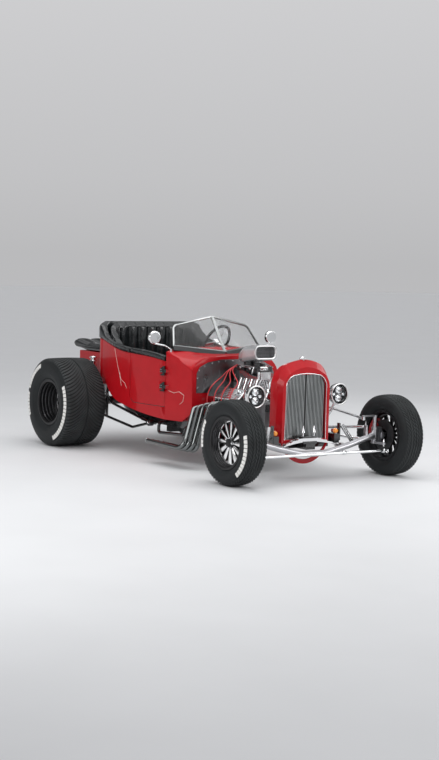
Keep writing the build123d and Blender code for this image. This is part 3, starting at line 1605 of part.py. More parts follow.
def tyre(radius, width, lip_y, shoulder):
    """A tyre, solid in section, its axis along Y through the origin."""
    half = width / 2
    bead = bead_seat_radius + seat_gap
    bead_y = lip_y - seat_gap
    with BuildPart() as piece:
        with BuildSketch(Plane.YZ):
            with BuildLine():
                for side in (1, -1):
                    Line((side * bead_y, bead), (side * bead_y, rim_lip_radius + 2))
                    Line((side * bead_y, rim_lip_radius + 2), (side * (lip_y + 6), rim_lip_radius + 6))
                    ThreePointArc(
                        (side * (lip_y + 6), rim_lip_radius + 6),
                        (side * half, (rim_lip_radius + radius) / 2 + 4),
                        (side * (half - shoulder / 2), radius - shoulder),
                    )
                    ThreePointArc(
                        (side * (half - shoulder / 2), radius - shoulder),
                        (side * (half - 0.8 * shoulder), radius - 0.35 * shoulder),
                        (side * (half - 1.4 * shoulder), radius - 4),
                    )
                ThreePointArc(
                    (1.4 * shoulder - half, radius - 4), (0, radius), (half - 1.4 * shoulder, radius - 4)
                )
                Line((-bead_y, bead), (bead_y, bead))
            make_face()
        revolve(axis=Axis.Y)
    return piece.part


def wheel(lip_y, disc_y, disc_radius, bore, spokes, steps, rotor):
    """A deep wheel facing +Y: lip, stepped barrel, spoked disc and hub, its axis along Y."""
    inner_seat = bead_seat_radius - rim_flange
    with BuildSketch() as spoke:
        with BuildLine():
            Polyline(
                (36, -8),
                (80, -12),
                (disc_radius - 40, -19),
                (disc_radius - 8, -17),
                (disc_radius - 8, 17),
                (disc_radius - 40, 19),
                (80, 12),
                (36, 8),
                close=True,
            )
        make_face()
    with BuildPart() as piece:
        with BuildSketch(Plane.YZ):
            with BuildLine():
                outline = [
                    (lip_y + rim_flange, rim_lip_radius),
                    (lip_y, rim_lip_radius),
                    (lip_y, bead_seat_radius),
                    (disc_y + 8, bead_seat_radius),
                    (disc_y - 4, disc_radius + 6),
                    (-lip_y + 50, disc_radius + 6),
                    (-lip_y + 34, bead_seat_radius),
                    (-lip_y, bead_seat_radius),
                    (-lip_y, rim_lip_radius),
                    (-lip_y - rim_flange, rim_lip_radius),
                    (-lip_y - rim_flange, inner_seat),
                    (-lip_y + 34, inner_seat - 2),
                    (-lip_y + 50, disc_radius),
                    (disc_y, disc_radius),
                ]
                for step in range(steps):
                    step_y = disc_y + 12 + (lip_y - disc_y - 12) * step / steps
                    next_y = disc_y + 12 + (lip_y - disc_y - 12) * (step + 1) / steps
                    step_r = disc_radius + (inner_seat - disc_radius) * (step + 0.6) / steps
                    outline += [(step_y, step_r), (next_y, step_r)]
                outline.append((lip_y + rim_flange, inner_seat + 1))
                Polyline(*outline, close=True)
            make_face()
        revolve(axis=Axis.Y)
        with BuildSketch(Plane.XZ.offset(-disc_y)):
            Circle(disc_radius + 1)
            Circle(disc_radius - 12, mode=Mode.SUBTRACT)
            with PolarLocations(0, spokes):
                add(spoke.sketch)
        extrude(amount=-12)
        with BuildSketch(Plane.XZ.offset(-disc_y + 22)):
            Circle(46)
        extrude(amount=-40)
        with BuildSketch(Plane.XZ.offset(-disc_y - 17)):
            Circle(30)
        extrude(amount=-14)
        if rotor:
            with BuildSketch(Plane.XZ.offset(-(rotor_y - front_wheel_y))):
                Circle(rotor_radius)
                Circle(46, mode=Mode.SUBTRACT)
            extrude(amount=-rotor_thickness)
            with BuildSketch(Plane.XZ.offset(-(rotor_y - front_wheel_y))):
                Circle(60)
            extrude(amount=-(disc_y - rotor_y + front_wheel_y))
        with Locations(Location((0, disc_y + 4, 0), (90, 0, 0))):
            Cylinder(bore, 260, align=(Align.CENTER, Align.CENTER, Align.MIN), mode=Mode.SUBTRACT)
    return piece.part


front_lip_y = 82.0
rear_lip_y = 178.0
rear_disc_y = wheel_mount_y - rear_wheel_y
front_wheel = wheel(front_lip_y, 17.5, 171, spindle_radius + bearing_gap, 12, 3, True)
rear_wheel = wheel(rear_lip_y, rear_disc_y, 152, rear_spindle_radius + bearing_gap, 12, 5, False)
front_tyre = tyre(front_tyre_radius, front_tyre_width, front_lip_y, 24)
rear_tyre = tyre(rear_tyre_radius, rear_tyre_width, rear_lip_y, 34)
wheel_table = (  # name, x, y, z, wheel, tyre
    ("front", front_axle_x, front_wheel_y, front_tyre_radius, front_wheel, front_tyre),
    ("rear", rear_axle_x, rear_wheel_y, rear_tyre_radius, rear_wheel, rear_tyre),
)
for end_name, wheel_x, wheel_y, wheel_z, wheel_shape, tyre_shape in wheel_table:
    for side_name, side in (("left", 1), ("right", -1)):
        for kind, shape in (("wheel", wheel_shape), ("tyre", tyre_shape)):
            with BuildPart() as rolling_piece:
                with Locations((wheel_x, wheel_y, wheel_z)):
                    add(shape)
                if side < 0:
                    add(mirror(rolling_piece.part, about=Plane.XZ), mode=Mode.REPLACE)
            finish(rolling_piece, f"{kind}_{end_name}_{side_name}")
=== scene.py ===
"""Looks of an open hot rod roadster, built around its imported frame. Metres; X forward, Y left, Z up."""

import json
import logging
from dataclasses import dataclass
from enum import Enum
from math import atan2, cos, hypot, pi, radians, sin, tau
from typing import Callable, Iterable, Optional, Sequence

import bmesh
import bpy
import numpy as np
from mathutils import Matrix, Vector, noise
from mathutils.bvhtree import BVHTree


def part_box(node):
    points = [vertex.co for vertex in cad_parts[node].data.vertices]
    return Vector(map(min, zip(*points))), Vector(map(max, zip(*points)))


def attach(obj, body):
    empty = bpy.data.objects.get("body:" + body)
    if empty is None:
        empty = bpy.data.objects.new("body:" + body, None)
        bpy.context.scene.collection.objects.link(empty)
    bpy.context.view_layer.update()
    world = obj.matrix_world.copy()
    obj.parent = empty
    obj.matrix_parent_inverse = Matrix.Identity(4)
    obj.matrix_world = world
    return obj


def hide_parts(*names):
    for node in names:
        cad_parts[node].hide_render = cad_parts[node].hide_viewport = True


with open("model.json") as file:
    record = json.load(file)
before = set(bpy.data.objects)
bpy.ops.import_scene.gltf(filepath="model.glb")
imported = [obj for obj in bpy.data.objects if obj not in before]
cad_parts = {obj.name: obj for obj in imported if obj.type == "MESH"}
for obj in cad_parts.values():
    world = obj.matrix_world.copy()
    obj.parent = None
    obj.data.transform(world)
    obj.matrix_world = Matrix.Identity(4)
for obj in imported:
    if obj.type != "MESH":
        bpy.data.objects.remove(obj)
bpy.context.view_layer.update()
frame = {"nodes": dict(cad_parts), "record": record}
LOG = logging.getLogger("roadster")

Point = Sequence[float]
Profile = Sequence[tuple[float, float]]
Colour = tuple[float, float, float]
Thing = bpy.types.Object
Mesh = bpy.types.Mesh
Face = bpy.types.MeshPolygon
Tree = bpy.types.NodeTree
Socket = bpy.types.NodeSocket
Work = bmesh.types.BMesh

AHEAD, BACK, OUT, UP = (1, 0, 0), (-1, 0, 0), (0, 1, 0), (0, 0, 1)
FRONT_AXLE_X = 1.435
REAR_AXLE_X = -1.215
FRONT_RADIUS = 0.330
REAR_RADIUS = 0.395
FRONT_Y = 0.7825
REAR_Y = 0.7625
CAD_GAP = 2e-5
OWN_GAP = 1e-6
DIAGONAL = 0.5 ** 0.5


def mm(*values: float) -> tuple[tuple[float, float], ...]:
    """Pairs of metres from a row of millimetres."""
    return tuple((a * 0.001, b * 0.001) for a, b in zip(values[::2], values[1::2]))


class Side(Enum):
    """The car's two sides, by the sign of Y."""

    LEFT = 1
    RIGHT = -1

    def at(self, x: float, y: float, z: float) -> tuple[float, float, float]:
        """A place or direction given for the left side, on this side."""
        return x, self.value * y, z


class Grain(Enum):
    """Surface textures that a finish can carry."""

    NONE = "none"
    CAST = "cast"
    LEATHER = "leather"
    RUBBER = "rubber"
    ORANGE_PEEL = "orange_peel"
    BRUSHED = "brushed"


def wired(tree: Tree, kind: str, *feeds: tuple, **settings: object) -> bpy.types.Node:
    """A new node with its settings made and its inputs fed.

    Args:
        tree: The tree that gets the node.
        kind: The node's type.
        feeds: Pairs of an input's name or number, and the socket or the value that it takes.
        settings: The node's own properties.

    Returns:
        The node.
    """
    made = tree.nodes.new(kind)
    for name, value in settings.items():
        setattr(made, name, value)
    for name, source in feeds:
        if isinstance(source, Socket):
            tree.links.new(source, made.inputs[name])
        else:
            made.inputs[name].default_value = source
    return made


@dataclass(frozen=True)
class Finish:
    """One surface finish, made into a material on first use.

    The noise of the grain drives bump and a small spread of roughness; everything uniform sits on the shader.
    """

    name: str
    colour: Colour
    metallic: float = 0.0
    roughness: float = 0.4
    spread: float = 0.06
    coat: float = 0.0
    coat_roughness: float = 0.03
    specular: float = 0.5
    grain: Grain = Grain.NONE
    grain_scale: float = 300.0
    bump: float = 0.1
    shade: float = 0.12
    shade_scale: float = 9.0
    sheen: float = 0.0
    transmission: float = 0.0
    ior: float = 1.5
    alpha: float = 1.0
    painted_glow: float = 0.0

    def material(self) -> bpy.types.Material:
        """The finish's material, built the first time it is asked for."""
        found = bpy.data.materials.get(f"{self.name}_finish")
        return found if found is not None else self._build()

    def _build(self) -> bpy.types.Material:
        """Builds the material: colour and roughness vary over the surface, and the grain gives bump.

        Returns:
            The material.
        """
        material = bpy.data.materials.new(f"{self.name}_finish")
        material.use_nodes = True
        tree = material.node_tree
        shader = tree.nodes["Principled BSDF"].inputs
        uniform = {
            "Metallic": self.metallic, "Coat Weight": self.coat, "Coat Roughness": self.coat_roughness,
            "Specular IOR Level": self.specular, "Sheen Weight": self.sheen, "IOR": self.ior,
            "Transmission Weight": self.transmission, "Alpha": self.alpha,
        }
        # A glow is painted light: emission in the finish's own colour.
        if self.painted_glow:
            uniform |= {"Emission Color": (*self.colour, 1), "Emission Strength": self.painted_glow}
        for name, value in uniform.items():
            shader[name].default_value = value
        spot = wired(tree, "ShaderNodeTexCoord").outputs["Object"]
        feeds = ("Vector", spot), ("Scale", self.shade_scale), ("Detail", 4.0)
        noisy = wired(tree, "ShaderNodeTexNoise", *feeds)
        cloud = noisy.outputs["Fac"]
        ramp = wired(tree, "ShaderNodeValToRGB", ("Fac", cloud))
        shares = (1 - self.shade, 1 + self.shade)
        for element, position, share in zip(ramp.color_ramp.elements, (0.3, 0.7), shares):
            element.position = position
            element.color = (*(min(1.0, max(0.0, level * share)) for level in self.colour), 1)
        low, high = max(0.015, self.roughness - self.spread), min(1.0, self.roughness + self.spread)
        rough = wired(tree, "ShaderNodeMapRange", ("Value", cloud), ("To Min", low), ("To Max", high))
        tree.links.new(ramp.outputs["Color"], shader["Base Color"])
        tree.links.new(rough.outputs["Result"], shader["Roughness"])
        height = self._grain_height(tree, spot)
        if height is not None:
            feeds = ("Strength", self.bump), ("Distance", 0.001), ("Height", height)
            bump = wired(tree, "ShaderNodeBump", *feeds)
            tree.links.new(bump.outputs["Normal"], shader["Normal"])
        return material

    def _grain_height(self, tree: Tree, spot: Socket) -> Optional[Socket]:
        """The grain's height field.

        Args:
            tree: The material's node tree.
            spot: The socket that gives the place.

        Returns:
            The socket that holds the height, or None for a finish with no grain.
        """
        if self.grain is Grain.NONE:
            return None
        scale = ("Scale", self.grain_scale)
        if self.grain is Grain.LEATHER:
            cells = wired(tree, "ShaderNodeTexVoronoi", ("Vector", spot), scale, feature="DISTANCE_TO_EDGE")
            return cells.outputs["Distance"]
        if self.grain is Grain.BRUSHED:
            drawn = wired(tree, "ShaderNodeMapping", ("Vector", spot), ("Scale", (0.06, 1.0, 1.0)))
            spot = drawn.outputs["Vector"]
        detail = 6.0 if self.grain is Grain.CAST else 2.0
        return wired(tree, "ShaderNodeTexNoise", ("Vector", spot), scale, ("Detail", detail)).outputs["Fac"]


class Palette:
    """Every finish on the car. The numbers after the colour are metallic, roughness and its spread."""

    red = Finish("gloss_red", (0.43, 0.004, 0.009), 0.0, 0.36, 0.03, coat=0.38, coat_roughness=0.02,
                 specular=0.15, grain=Grain.ORANGE_PEEL, grain_scale=90, bump=0.05, shade=0.06)
    black_paint = Finish("gloss_black", (0.012, 0.012, 0.013), 0.0, 0.25, 0.05, coat=1.0, coat_roughness=0.04,
                         grain=Grain.ORANGE_PEEL, grain_scale=90, bump=0.05)
    chrome = Finish("chrome", (0.86, 0.87, 0.88), 1.0, 0.06, 0.02, shade=0.03)
    # Chrome darkened in colour for the headers: painted shade, standing in for the dark ground that the
    # chrome reflects.
    shaded_chrome = Finish("smoked_chrome", (0.19, 0.20, 0.20), 1.0, 0.16, 0.04, shade=0.1)
    polished = Finish("polished_alloy", (0.72, 0.72, 0.73), 1.0, 0.13, 0.05, shade=0.05, grain=Grain.BRUSHED,
                      bump=0.04)
    brushed = Finish("machined_steel", (0.50, 0.50, 0.52), 1.0, 0.34, 0.08, grain=Grain.BRUSHED, bump=0.15)
    # Dark steel: real on the brake rotors; painted shade on the headlamp bowls and on the plate inside the
    # scoop.
    dark_steel = Finish("dark_steel", (0.055, 0.055, 0.058), 0.9, 0.38, 0.08, grain=Grain.BRUSHED, bump=0.15)
    cast = Finish("cast_alloy", (0.42, 0.42, 0.43), 1.0, 0.48, 0.1, grain=Grain.CAST, grain_scale=420,
                  bump=0.5)
    wheel_black = Finish("wheel_black", (0.007, 0.007, 0.008), 0.0, 0.34, 0.06, coat=0.08, specular=0.3,
                         grain=Grain.CAST, bump=0.08)
    bright_edge = Finish("frame_metal", (0.36, 0.37, 0.37), 1.0, 0.24, 0.06, grain=Grain.BRUSHED, bump=0.04)
    # Grey for the slanted edges of the wheels' steps: a painted highlight, standing in for thin lines of
    # light on them.
    wheel_grey = Finish("wheel_grey", (0.22, 0.22, 0.23), 0.9, 0.30, 0.08, grain=Grain.BRUSHED, bump=0.1)
    paddle = Finish("paddle_metal", (0.94, 0.94, 0.94), 1.0, 0.20, 0.05, shade=0.02)
    bezel = Finish("bright_metal", (0.93, 0.93, 0.93), 1.0, 0.30, 0.05, shade=0.02)
    # Pale metal for the chrome scoop: its pale diffuse colour is a painted reflection of the bright studio
    # that chrome would mirror.
    pale_painted_reflection = Finish("satin_alloy", (0.60, 0.61, 0.62), 0.6, 0.26, 0.04, coat=0.3, shade=0.02)
    firewall = Finish("firewall_steel", (0.17, 0.17, 0.175), 1.0, 0.30, 0.08, grain=Grain.BRUSHED, bump=0.08)
    rubber = Finish("tyre_rubber", (0.009, 0.011, 0.012), 0.0, 0.60, 0.1, specular=0.35, grain=Grain.RUBBER,
                    grain_scale=700, bump=0.3, shade=0.25)
    tread = Finish("tread_rubber", (0.034, 0.037, 0.038), 0.0, 0.80, 0.1, specular=0.3, grain=Grain.RUBBER,
                   grain_scale=500, bump=0.4, shade=0.3)
    soft_black = Finish("black_rubber", (0.016, 0.016, 0.017), 0.0, 0.6, 0.08, grain=Grain.RUBBER,
                        grain_scale=500, bump=0.15)
    white = Finish("raised_white", (0.78, 0.77, 0.74), 0.0, 0.55, 0.06, grain=Grain.RUBBER, grain_scale=400,
                   bump=0.15, shade=0.06)
    vinyl = Finish("black_vinyl", (0.007, 0.009, 0.010), 0.0, 0.24, 0.06, coat=0.45, coat_roughness=0.12,
                   specular=0.45, grain=Grain.LEATHER, grain_scale=420, bump=0.08, shade=0.3,
                   shade_scale=14.0)
    glass = Finish("screen_glass", (0.96, 0.98, 0.97), 0.0, 0.02, 0.005, transmission=1.0, ior=1.45,
                   alpha=0.14, shade=0.01)
    lens = Finish("lamp_lens", (0.95, 0.97, 0.98), 0.0, 0.03, 0.01, transmission=1.0, ior=1.3, alpha=0.35,
                  shade=0.02)
    # The amber and red lenses glow faintly: painted light that brightens the lenses.
    amber = Finish("amber_lens", (0.83, 0.27, 0.02), 0.0, 0.16, 0.04, coat=0.6, painted_glow=0.12)
    ruby = Finish("red_lens", (0.45, 0.006, 0.006), 0.0, 0.14, 0.04, coat=0.6, painted_glow=0.06)
    lead = Finish("red_lead", (0.55, 0.03, 0.035), 0.0, 0.42, 0.06, shade=0.1)
    boot = Finish("boot_black", (0.02, 0.02, 0.02), 0.0, 0.5, 0.05, grain=Grain.RUBBER, bump=0.1)
    caliper = Finish("caliper_red", (0.30, 0.012, 0.016), 0.1, 0.34, 0.05, coat=0.6, grain=Grain.CAST,
                     bump=0.2)
    grille = Finish("grille_bars", (0.46, 0.48, 0.48), 1.0, 0.30, 0.06, grain=Grain.BRUSHED, bump=0.05)
    core = Finish("radiator_core", (0.03, 0.03, 0.032), 0.4, 0.55, 0.1, grain=Grain.CAST, bump=0.3)
    stripe = Finish("pale_stripe", (0.72, 0.66, 0.6), 0.0, 0.3, 0.03, coat=0.8, shade=0.03)
    carpet = Finish("black_carpet", (0.02, 0.02, 0.022), 0.0, 0.95, 0.04, grain=Grain.CAST, grain_scale=900,
                    bump=1.0, sheen=0.3)
    floor = Finish("pale_floor", (0.70, 0.71, 0.72), 0.0, 0.6, 0.03, shade=0.015, shade_scale=1.5,
                   grain=Grain.CAST, grain_scale=60, bump=0.02)


PALETTE = Palette()


def link(name: str, data: bpy.types.ID) -> Thing:
    """A new object in the scene that holds the data.

    Args:
        name: The object's name.
        data: What it holds.

    Returns:
        The object.
    """
    thing = bpy.data.objects.new(name, data)
    bpy.context.scene.collection.objects.link(thing)
    return thing


def reworked(mesh: Mesh, gap: float, *steps: Callable[[Work], object]) -> Mesh:
    """Merges a mesh's corners closer than the gap and then runs the further steps on it.

    Args:
        mesh: The mesh.
        gap: The gap.
        steps: The further steps.

    Returns:
        The same mesh.
    """
    work = bmesh.new()
    work.from_mesh(mesh)
    bmesh.ops.remove_doubles(work, verts=work.verts, dist=gap)
    for step in steps:
        step(work)
    work.to_mesh(mesh)
    work.free()
    return mesh


def flattened(work: Work) -> None:
    """Joins flat faces, so that only real edges are left to round."""
    flat = radians(0.4)
    bmesh.ops.dissolve_limit(work, angle_limit=flat, verts=work.verts, edges=work.edges, delimit=set())


def thinned(work: Work) -> None:
    """Takes out faces and edges that have no size."""
    bmesh.ops.dissolve_degenerate(work, edges=work.edges, dist=1e-7)


def outward(work: Work) -> None:
    """Turns all normals outwards."""
    bmesh.ops.recalc_face_normals(work, faces=work.faces)


def mesh_of(
    verts: Iterable[Point], faces: Iterable[Sequence[int]], *steps: Callable[[Work], object]
) -> Mesh:
    """A mesh from corner places and faces, with doubles merged, further steps run and normals outwards.

    Args:
        verts: Places of the corners.
        faces: Indices of each face's corners.
        steps: Further steps, run before the normals are turned.

    Returns:
        The mesh.
    """
    mesh = bpy.data.meshes.new("form")
    mesh.from_pydata([tuple(v) for v in verts], [], [tuple(f) for f in faces])
    return reworked(mesh, OWN_GAP, *steps, outward)


def smooth(thing: Thing, angle: float = 30.0) -> Thing:
    """Shades a piece smooth.

    Args:
        thing: The piece.
        angle: Edges sharper than this stay sharp, in degrees.

    Returns:
        The same piece.
    """
    mesh = thing.data
    mesh.polygons.foreach_set("use_smooth", [True] * len(mesh.polygons))
    mesh.set_sharp_from_angle(angle=radians(angle))
    return thing


def evaluated(thing: Thing) -> Thing:
    """Turns a piece's live modifiers into its own mesh and removes them.

    Args:
        thing: The piece.

    Returns:
        The piece, or its new object where it was a curve.
    """
    graph = bpy.context.evaluated_depsgraph_get()
    mesh = bpy.data.meshes.new_from_object(thing.evaluated_get(graph), depsgraph=graph)
    old = thing.data
    thing.modifiers.clear()
    if thing.type != "MESH":
        name = thing.name
        bpy.data.objects.remove(thing)
        return link(name, mesh)
    thing.data = mesh
    if old.users == 0:
        bpy.data.meshes.remove(old)
    return thing


def dressed(name: str, mesh: Mesh, finish: Finish, angle: float = 30.0) -> Thing:
    """An object from a mesh in one finish, shaded smooth.

    Args:
        name: The object's name.
        mesh: Its form.
        finish: Its finish.
        angle: Edges sharper than this stay sharp, in degrees.

    Returns:
        The object.
    """
    mesh.materials.clear()
    mesh.materials.append(finish.material())
    return smooth(link(name, mesh), angle)


def joined(name: str, things: Sequence[Thing]) -> Thing:
    """One object from several meshes, with each one's materials kept.

    Args:
        name: The object's name.
        things: The pieces to join.

    Returns:
        The object.
    """
    work = bmesh.new()
    materials: list[bpy.types.Material] = []
    for thing in things:
        start = len(work.faces)
        work.from_mesh(thing.data)
        work.faces.ensure_lookup_table()
        local = list(thing.data.materials)
        materials = list(dict.fromkeys([*materials, *local]))
        for face in work.faces[start:]:
            face.material_index = materials.index(local[min(face.material_index, len(local) - 1)])
    mesh = bpy.data.meshes.new(name)
    work.to_mesh(mesh)
    work.free()
    for m in materials:
        mesh.materials.append(m)
    for thing in things:
        data = thing.data
        bpy.data.objects.remove(thing)
        bpy.data.meshes.remove(data)
    return link(name, mesh)


def place(thing: Thing, body: str, slot: str, *nodes: str) -> Thing:
    """Seats a finished piece on its body and hides the nodes that it stands for.

    Args:
        thing: The finished piece.
        body: The body it rides on.
        slot: The record's material slot; not used.
        nodes: Nodes that it replaces.

    Returns:
        The same piece.
    """
    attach(thing, body)
    if nodes:
        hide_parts(*nodes)
    LOG.info("piece %s on %s, %d faces", thing.name, body, len(thing.data.polygons))
    return thing


def fitted(name: str, parts: Sequence[Thing], slot: str, *nodes: str) -> Thing:
    """Joins parts into one piece and seats it on the chassis in place of the nodes."""
    return place(joined(name, parts), "chassis", slot, *nodes)


def body_of(node: str) -> str:
    """The body that a node belongs to.

    Args:
        node: The node's name.

    Returns:
        The body's name.
    """
    for body, members in frame["record"]["behaviour"]["bodies"].items():
        if node in members:
            return body
    raise KeyError(node)


def copy_node(node: str, finish: Finish, angle: float = 28.0, bevel: float = 0.0) -> Thing:
    """A copy of a node's mesh with its corners merged, shaded smooth, its small edges rounded.

    Args:
        node: The node's name.
        finish: The finish of the copy.
        angle: Edges sharper than this stay sharp, in degrees.
        bevel: Radius of the rounding in metres, 0 for none.

    Returns:
        The copy, not yet placed.
    """
    steps = (flattened,) if bevel else ()
    skin = reworked(frame["nodes"][node].data.copy(), CAD_GAP, *steps)
    thing = dressed(f"{node}_skin", skin, finish, angle)
    if bevel:
        rounding = thing.modifiers.new("rounding", "BEVEL")
        rounding.width = bevel
        rounding.segments = 2
        rounding.limit_method = "ANGLE"
        rounding.angle_limit = radians(angle)
        rounding.harden_normals = False
    weigh = thing.modifiers.new("weigh", "WEIGHTED_NORMAL")
    weigh.keep_sharp = True
    return evaluated(thing)


def reskin(node: str, finish: Finish, slot: str, angle: float = 28.0, bevel: float = 0.0) -> Thing:
    """Replaces a node by its smooth copy in the given finish."""
    return place(copy_node(node, finish, angle, bevel), body_of(node), slot, node)


def paint_faces(thing: Thing, finish: Finish, picks: Callable[[Face], bool]) -> Thing:
    """Gives the faces that the test picks another finish.

    Args:
        thing: The piece.
        finish: The other finish.
        picks: The test.

    Returns:
        The same piece.
    """
    mesh = thing.data
    mesh.materials.append(finish.material())
    index = len(mesh.materials) - 1
    for face in mesh.polygons:
        if picks(face):
            face.material_index = index
    return thing


class Repeat:
    """Geometry Nodes trees that repeat a unit, each built once and baked into a plain mesh."""

    @staticmethod
    def _frame(name: str, *inputs: tuple[str, str]) -> tuple:
        """An empty tree with its inputs, a Realize Instances and a Set Material at its end.

        Args:
            name: The tree's name.
            inputs: Name and kind of each input between the geometry and the finish.

        Returns:
            The tree, its group input and its Realize Instances node.
        """
        tree = bpy.data.node_groups.new(name, "GeometryNodeTree")
        for label, kind in (("Geometry", "Geometry"), *inputs, ("Finish", "Material")):
            tree.interface.new_socket(name=label, in_out="INPUT", socket_type=f"NodeSocket{kind}")
        tree.interface.new_socket(name="Geometry", in_out="OUTPUT", socket_type="NodeSocketGeometry")
        source, realize = wired(tree, "NodeGroupInput"), wired(tree, "GeometryNodeRealizeInstances")
        feeds = ("Geometry", realize.outputs["Geometry"]), ("Material", source.outputs["Finish"])
        dress = wired(tree, "GeometryNodeSetMaterial", *feeds)
        wired(tree, "NodeGroupOutput", ("Geometry", dress.outputs["Geometry"]))
        return tree, source, realize

    @classmethod
    def around(cls) -> Tree:
        """The tree that repeats a unit about the Y axis through the origin and then moves it to a centre.

        Returns:
            The tree.
        """
        found = bpy.data.node_groups.get("repeat_around")
        if found is not None:
            return found
        inputs = ("Count", "Int"), ("Turn", "Float"), ("Centre", "Vector")
        tree, source, realize = cls._frame("repeat_around", *inputs)
        given = source.outputs
        points = wired(tree, "GeometryNodePoints", ("Count", given["Count"]))
        index = wired(tree, "GeometryNodeInputIndex")
        feeds = (0, index.outputs["Index"]), (1, given["Count"])
        share = wired(tree, "ShaderNodeMath", *feeds, operation="DIVIDE")
        feeds = (0, share.outputs[0]), (1, tau), (2, given["Turn"])
        angle = wired(tree, "ShaderNodeMath", *feeds, operation="MULTIPLY_ADD")
        spin = wired(tree, "ShaderNodeCombineXYZ", ("Y", angle.outputs[0]))
        feeds = ("Points", points.outputs[0]), ("Instance", given["Geometry"]), ("Rotation", spin.outputs[0])
        copies = wired(tree, "GeometryNodeInstanceOnPoints", *feeds)
        feeds = ("Geometry", copies.outputs["Instances"]), ("Translation", given["Centre"])
        shift = wired(tree, "GeometryNodeTransform", *feeds)
        tree.links.new(shift.outputs["Geometry"], realize.inputs["Geometry"])
        return tree

    @classmethod
    def along(cls) -> Tree:
        """The tree that repeats a unit along a straight row from a start to an end.

        Returns:
            The tree.
        """
        found = bpy.data.node_groups.get("repeat_along")
        if found is not None:
            return found
        inputs = ("Count", "Int"), ("Start", "Vector"), ("End", "Vector")
        tree, source, realize = cls._frame("repeat_along", *inputs)
        given = source.outputs
        feeds = ("Count", given["Count"]), ("Start Location", given["Start"]), ("Offset", given["End"])
        line = wired(tree, "GeometryNodeMeshLine", *feeds, mode="END_POINTS")
        feeds = ("Points", line.outputs["Mesh"]), ("Instance", given["Geometry"])
        copies = wired(tree, "GeometryNodeInstanceOnPoints", *feeds)
        tree.links.new(copies.outputs["Instances"], realize.inputs["Geometry"])
        return tree

    @staticmethod
    def bake(thing: Thing, tree: Tree, finish: Finish, **values: object) -> Thing:
        """Runs a tree on a piece and keeps the result as its plain mesh.

        Args:
            thing: The piece that holds the unit.
            tree: The tree.
            finish: The finish that Set Material gives.
            values: The tree's inputs by name.

        Returns:
            The piece with its new mesh.
        """
        modifier = thing.modifiers.new("repeat", "NODES")
        modifier.node_group = tree
        values["Finish"] = finish.material()
        for item in tree.interface.items_tree:
            if item.item_type == "SOCKET" and item.in_out == "INPUT" and item.name in values:
                modifier[item.identifier] = values[item.name]
        return evaluated(thing)


def ring(unit: Mesh, count: int, finish: Finish, turn: float = 0.0, centre: Point = (0, 0, 0)) -> Thing:
    """Copies of a unit about the Y axis through the centre, the first one at the angle given."""
    values = {"Count": count, "Turn": turn, "Centre": tuple(centre)}
    return Repeat.bake(link("ring", unit), Repeat.around(), finish, **values)


def row(name: str, unit: Mesh, count: int, start: Point, end: Point, finish: Finish) -> Thing:
    """Copies of a unit from a start to an end."""
    values = {"Count": count, "Start": tuple(start), "End": tuple(end)}
    return Repeat.bake(link(name, unit), Repeat.along(), finish, **values)


def quads(
    rows: int, cols: int, round_rows: bool = False, round_cols: bool = False, base: int = 0
) -> list[list[int]]:
    """Faces between the points of a grid that is stored row by row.

    Args:
        rows: How many rows.
        cols: Points in a row.
        round_rows: Whether the last row meets the first.
        round_cols: Whether each row closes on itself.
        base: Index of the first point.

    Returns:
        The faces.
    """
    faces = []
    for i in range(rows if round_rows else rows - 1):
        here, beyond = base + i * cols, base + (i + 1) % rows * cols
        for j in range(cols if round_cols else cols - 1):
            k = (j + 1) % cols
            faces.append([here + j, here + k, beyond + k, beyond + j])
    return faces


def slab_faces(rows: int, cols: int, base: int = 0) -> list[list[int]]:
    """Faces of a closed slab whose two sides are equal grids, stored one after the other from the base on.

    Args:
        rows: Rows of a grid.
        cols: Points in a row.
        base: Index of the first point.

    Returns:
        The faces.
    """
    layer = rows * cols
    over = base + layer
    edge = list(range(cols)) + [i * cols + cols - 1 for i in range(1, rows)]
    edge += [(rows - 1) * cols + j for j in range(cols - 2, -1, -1)]
    edge += [i * cols for i in range(rows - 2, 0, -1)]
    rim = [[base + p, base + q, over + q, over + p] for p, q in zip(edge, edge[1:] + edge[:1])]
    return quads(rows, cols, base=base) + quads(rows, cols, base=over) + rim


def strip(sections: Sequence[Sequence[Point]]) -> Mesh:
    """A closed strip through sections that have equally many points, capped at both ends.

    Args:
        sections: The points of each section.

    Returns:
        The mesh.
    """
    count = len(sections[0])
    last = count * (len(sections) - 1)
    caps = [list(range(count)), [last + i for i in reversed(range(count))]]
    verts = [point for section in sections for point in section]
    return mesh_of(verts, quads(len(sections), count, round_cols=True) + caps)


def lathe(profile: Profile, steps: int = 48) -> Mesh:
    """A turned form about the Z axis, closed where the radius is zero.

    Args:
        profile: Pairs of radius and height.
        steps: Divisions around.

    Returns:
        The mesh.
    """
    angles = [tau * k / steps for k in range(steps)]
    verts = [(r * cos(a), r * sin(a), z) for r, z in profile for a in angles]
    return mesh_of(verts, quads(len(profile), steps, round_cols=True))


def revolved(profile: Profile, steps: int, closed: bool = True) -> Mesh:
    """A ring about the Y axis.

    Args:
        profile: Pairs of Y and radius.
        steps: Divisions around.
        closed: Whether the section meets itself.

    Returns:
        The mesh.
    """
    angles = [tau * k / steps for k in range(steps)]
    verts = [(r * cos(a), y, r * sin(a)) for a in angles for y, r in profile]
    return mesh_of(verts, quads(steps, len(profile), True, closed))


def turned_to(mesh: Mesh, origin: Point, axis: Point) -> Mesh:
    """Turns a mesh made about +Z so that +Z points along the axis, and moves it to the origin given.

    Args:
        mesh: The mesh.
        origin: Where its own origin goes.
        axis: Where its +Z points.

    Returns:
        The same mesh.
    """
    turn = Vector(UP).rotation_difference(Vector(axis).normalized()).to_matrix().to_4x4()
    mesh.transform(Matrix.Translation(Vector(origin)) @ turn)
    return mesh


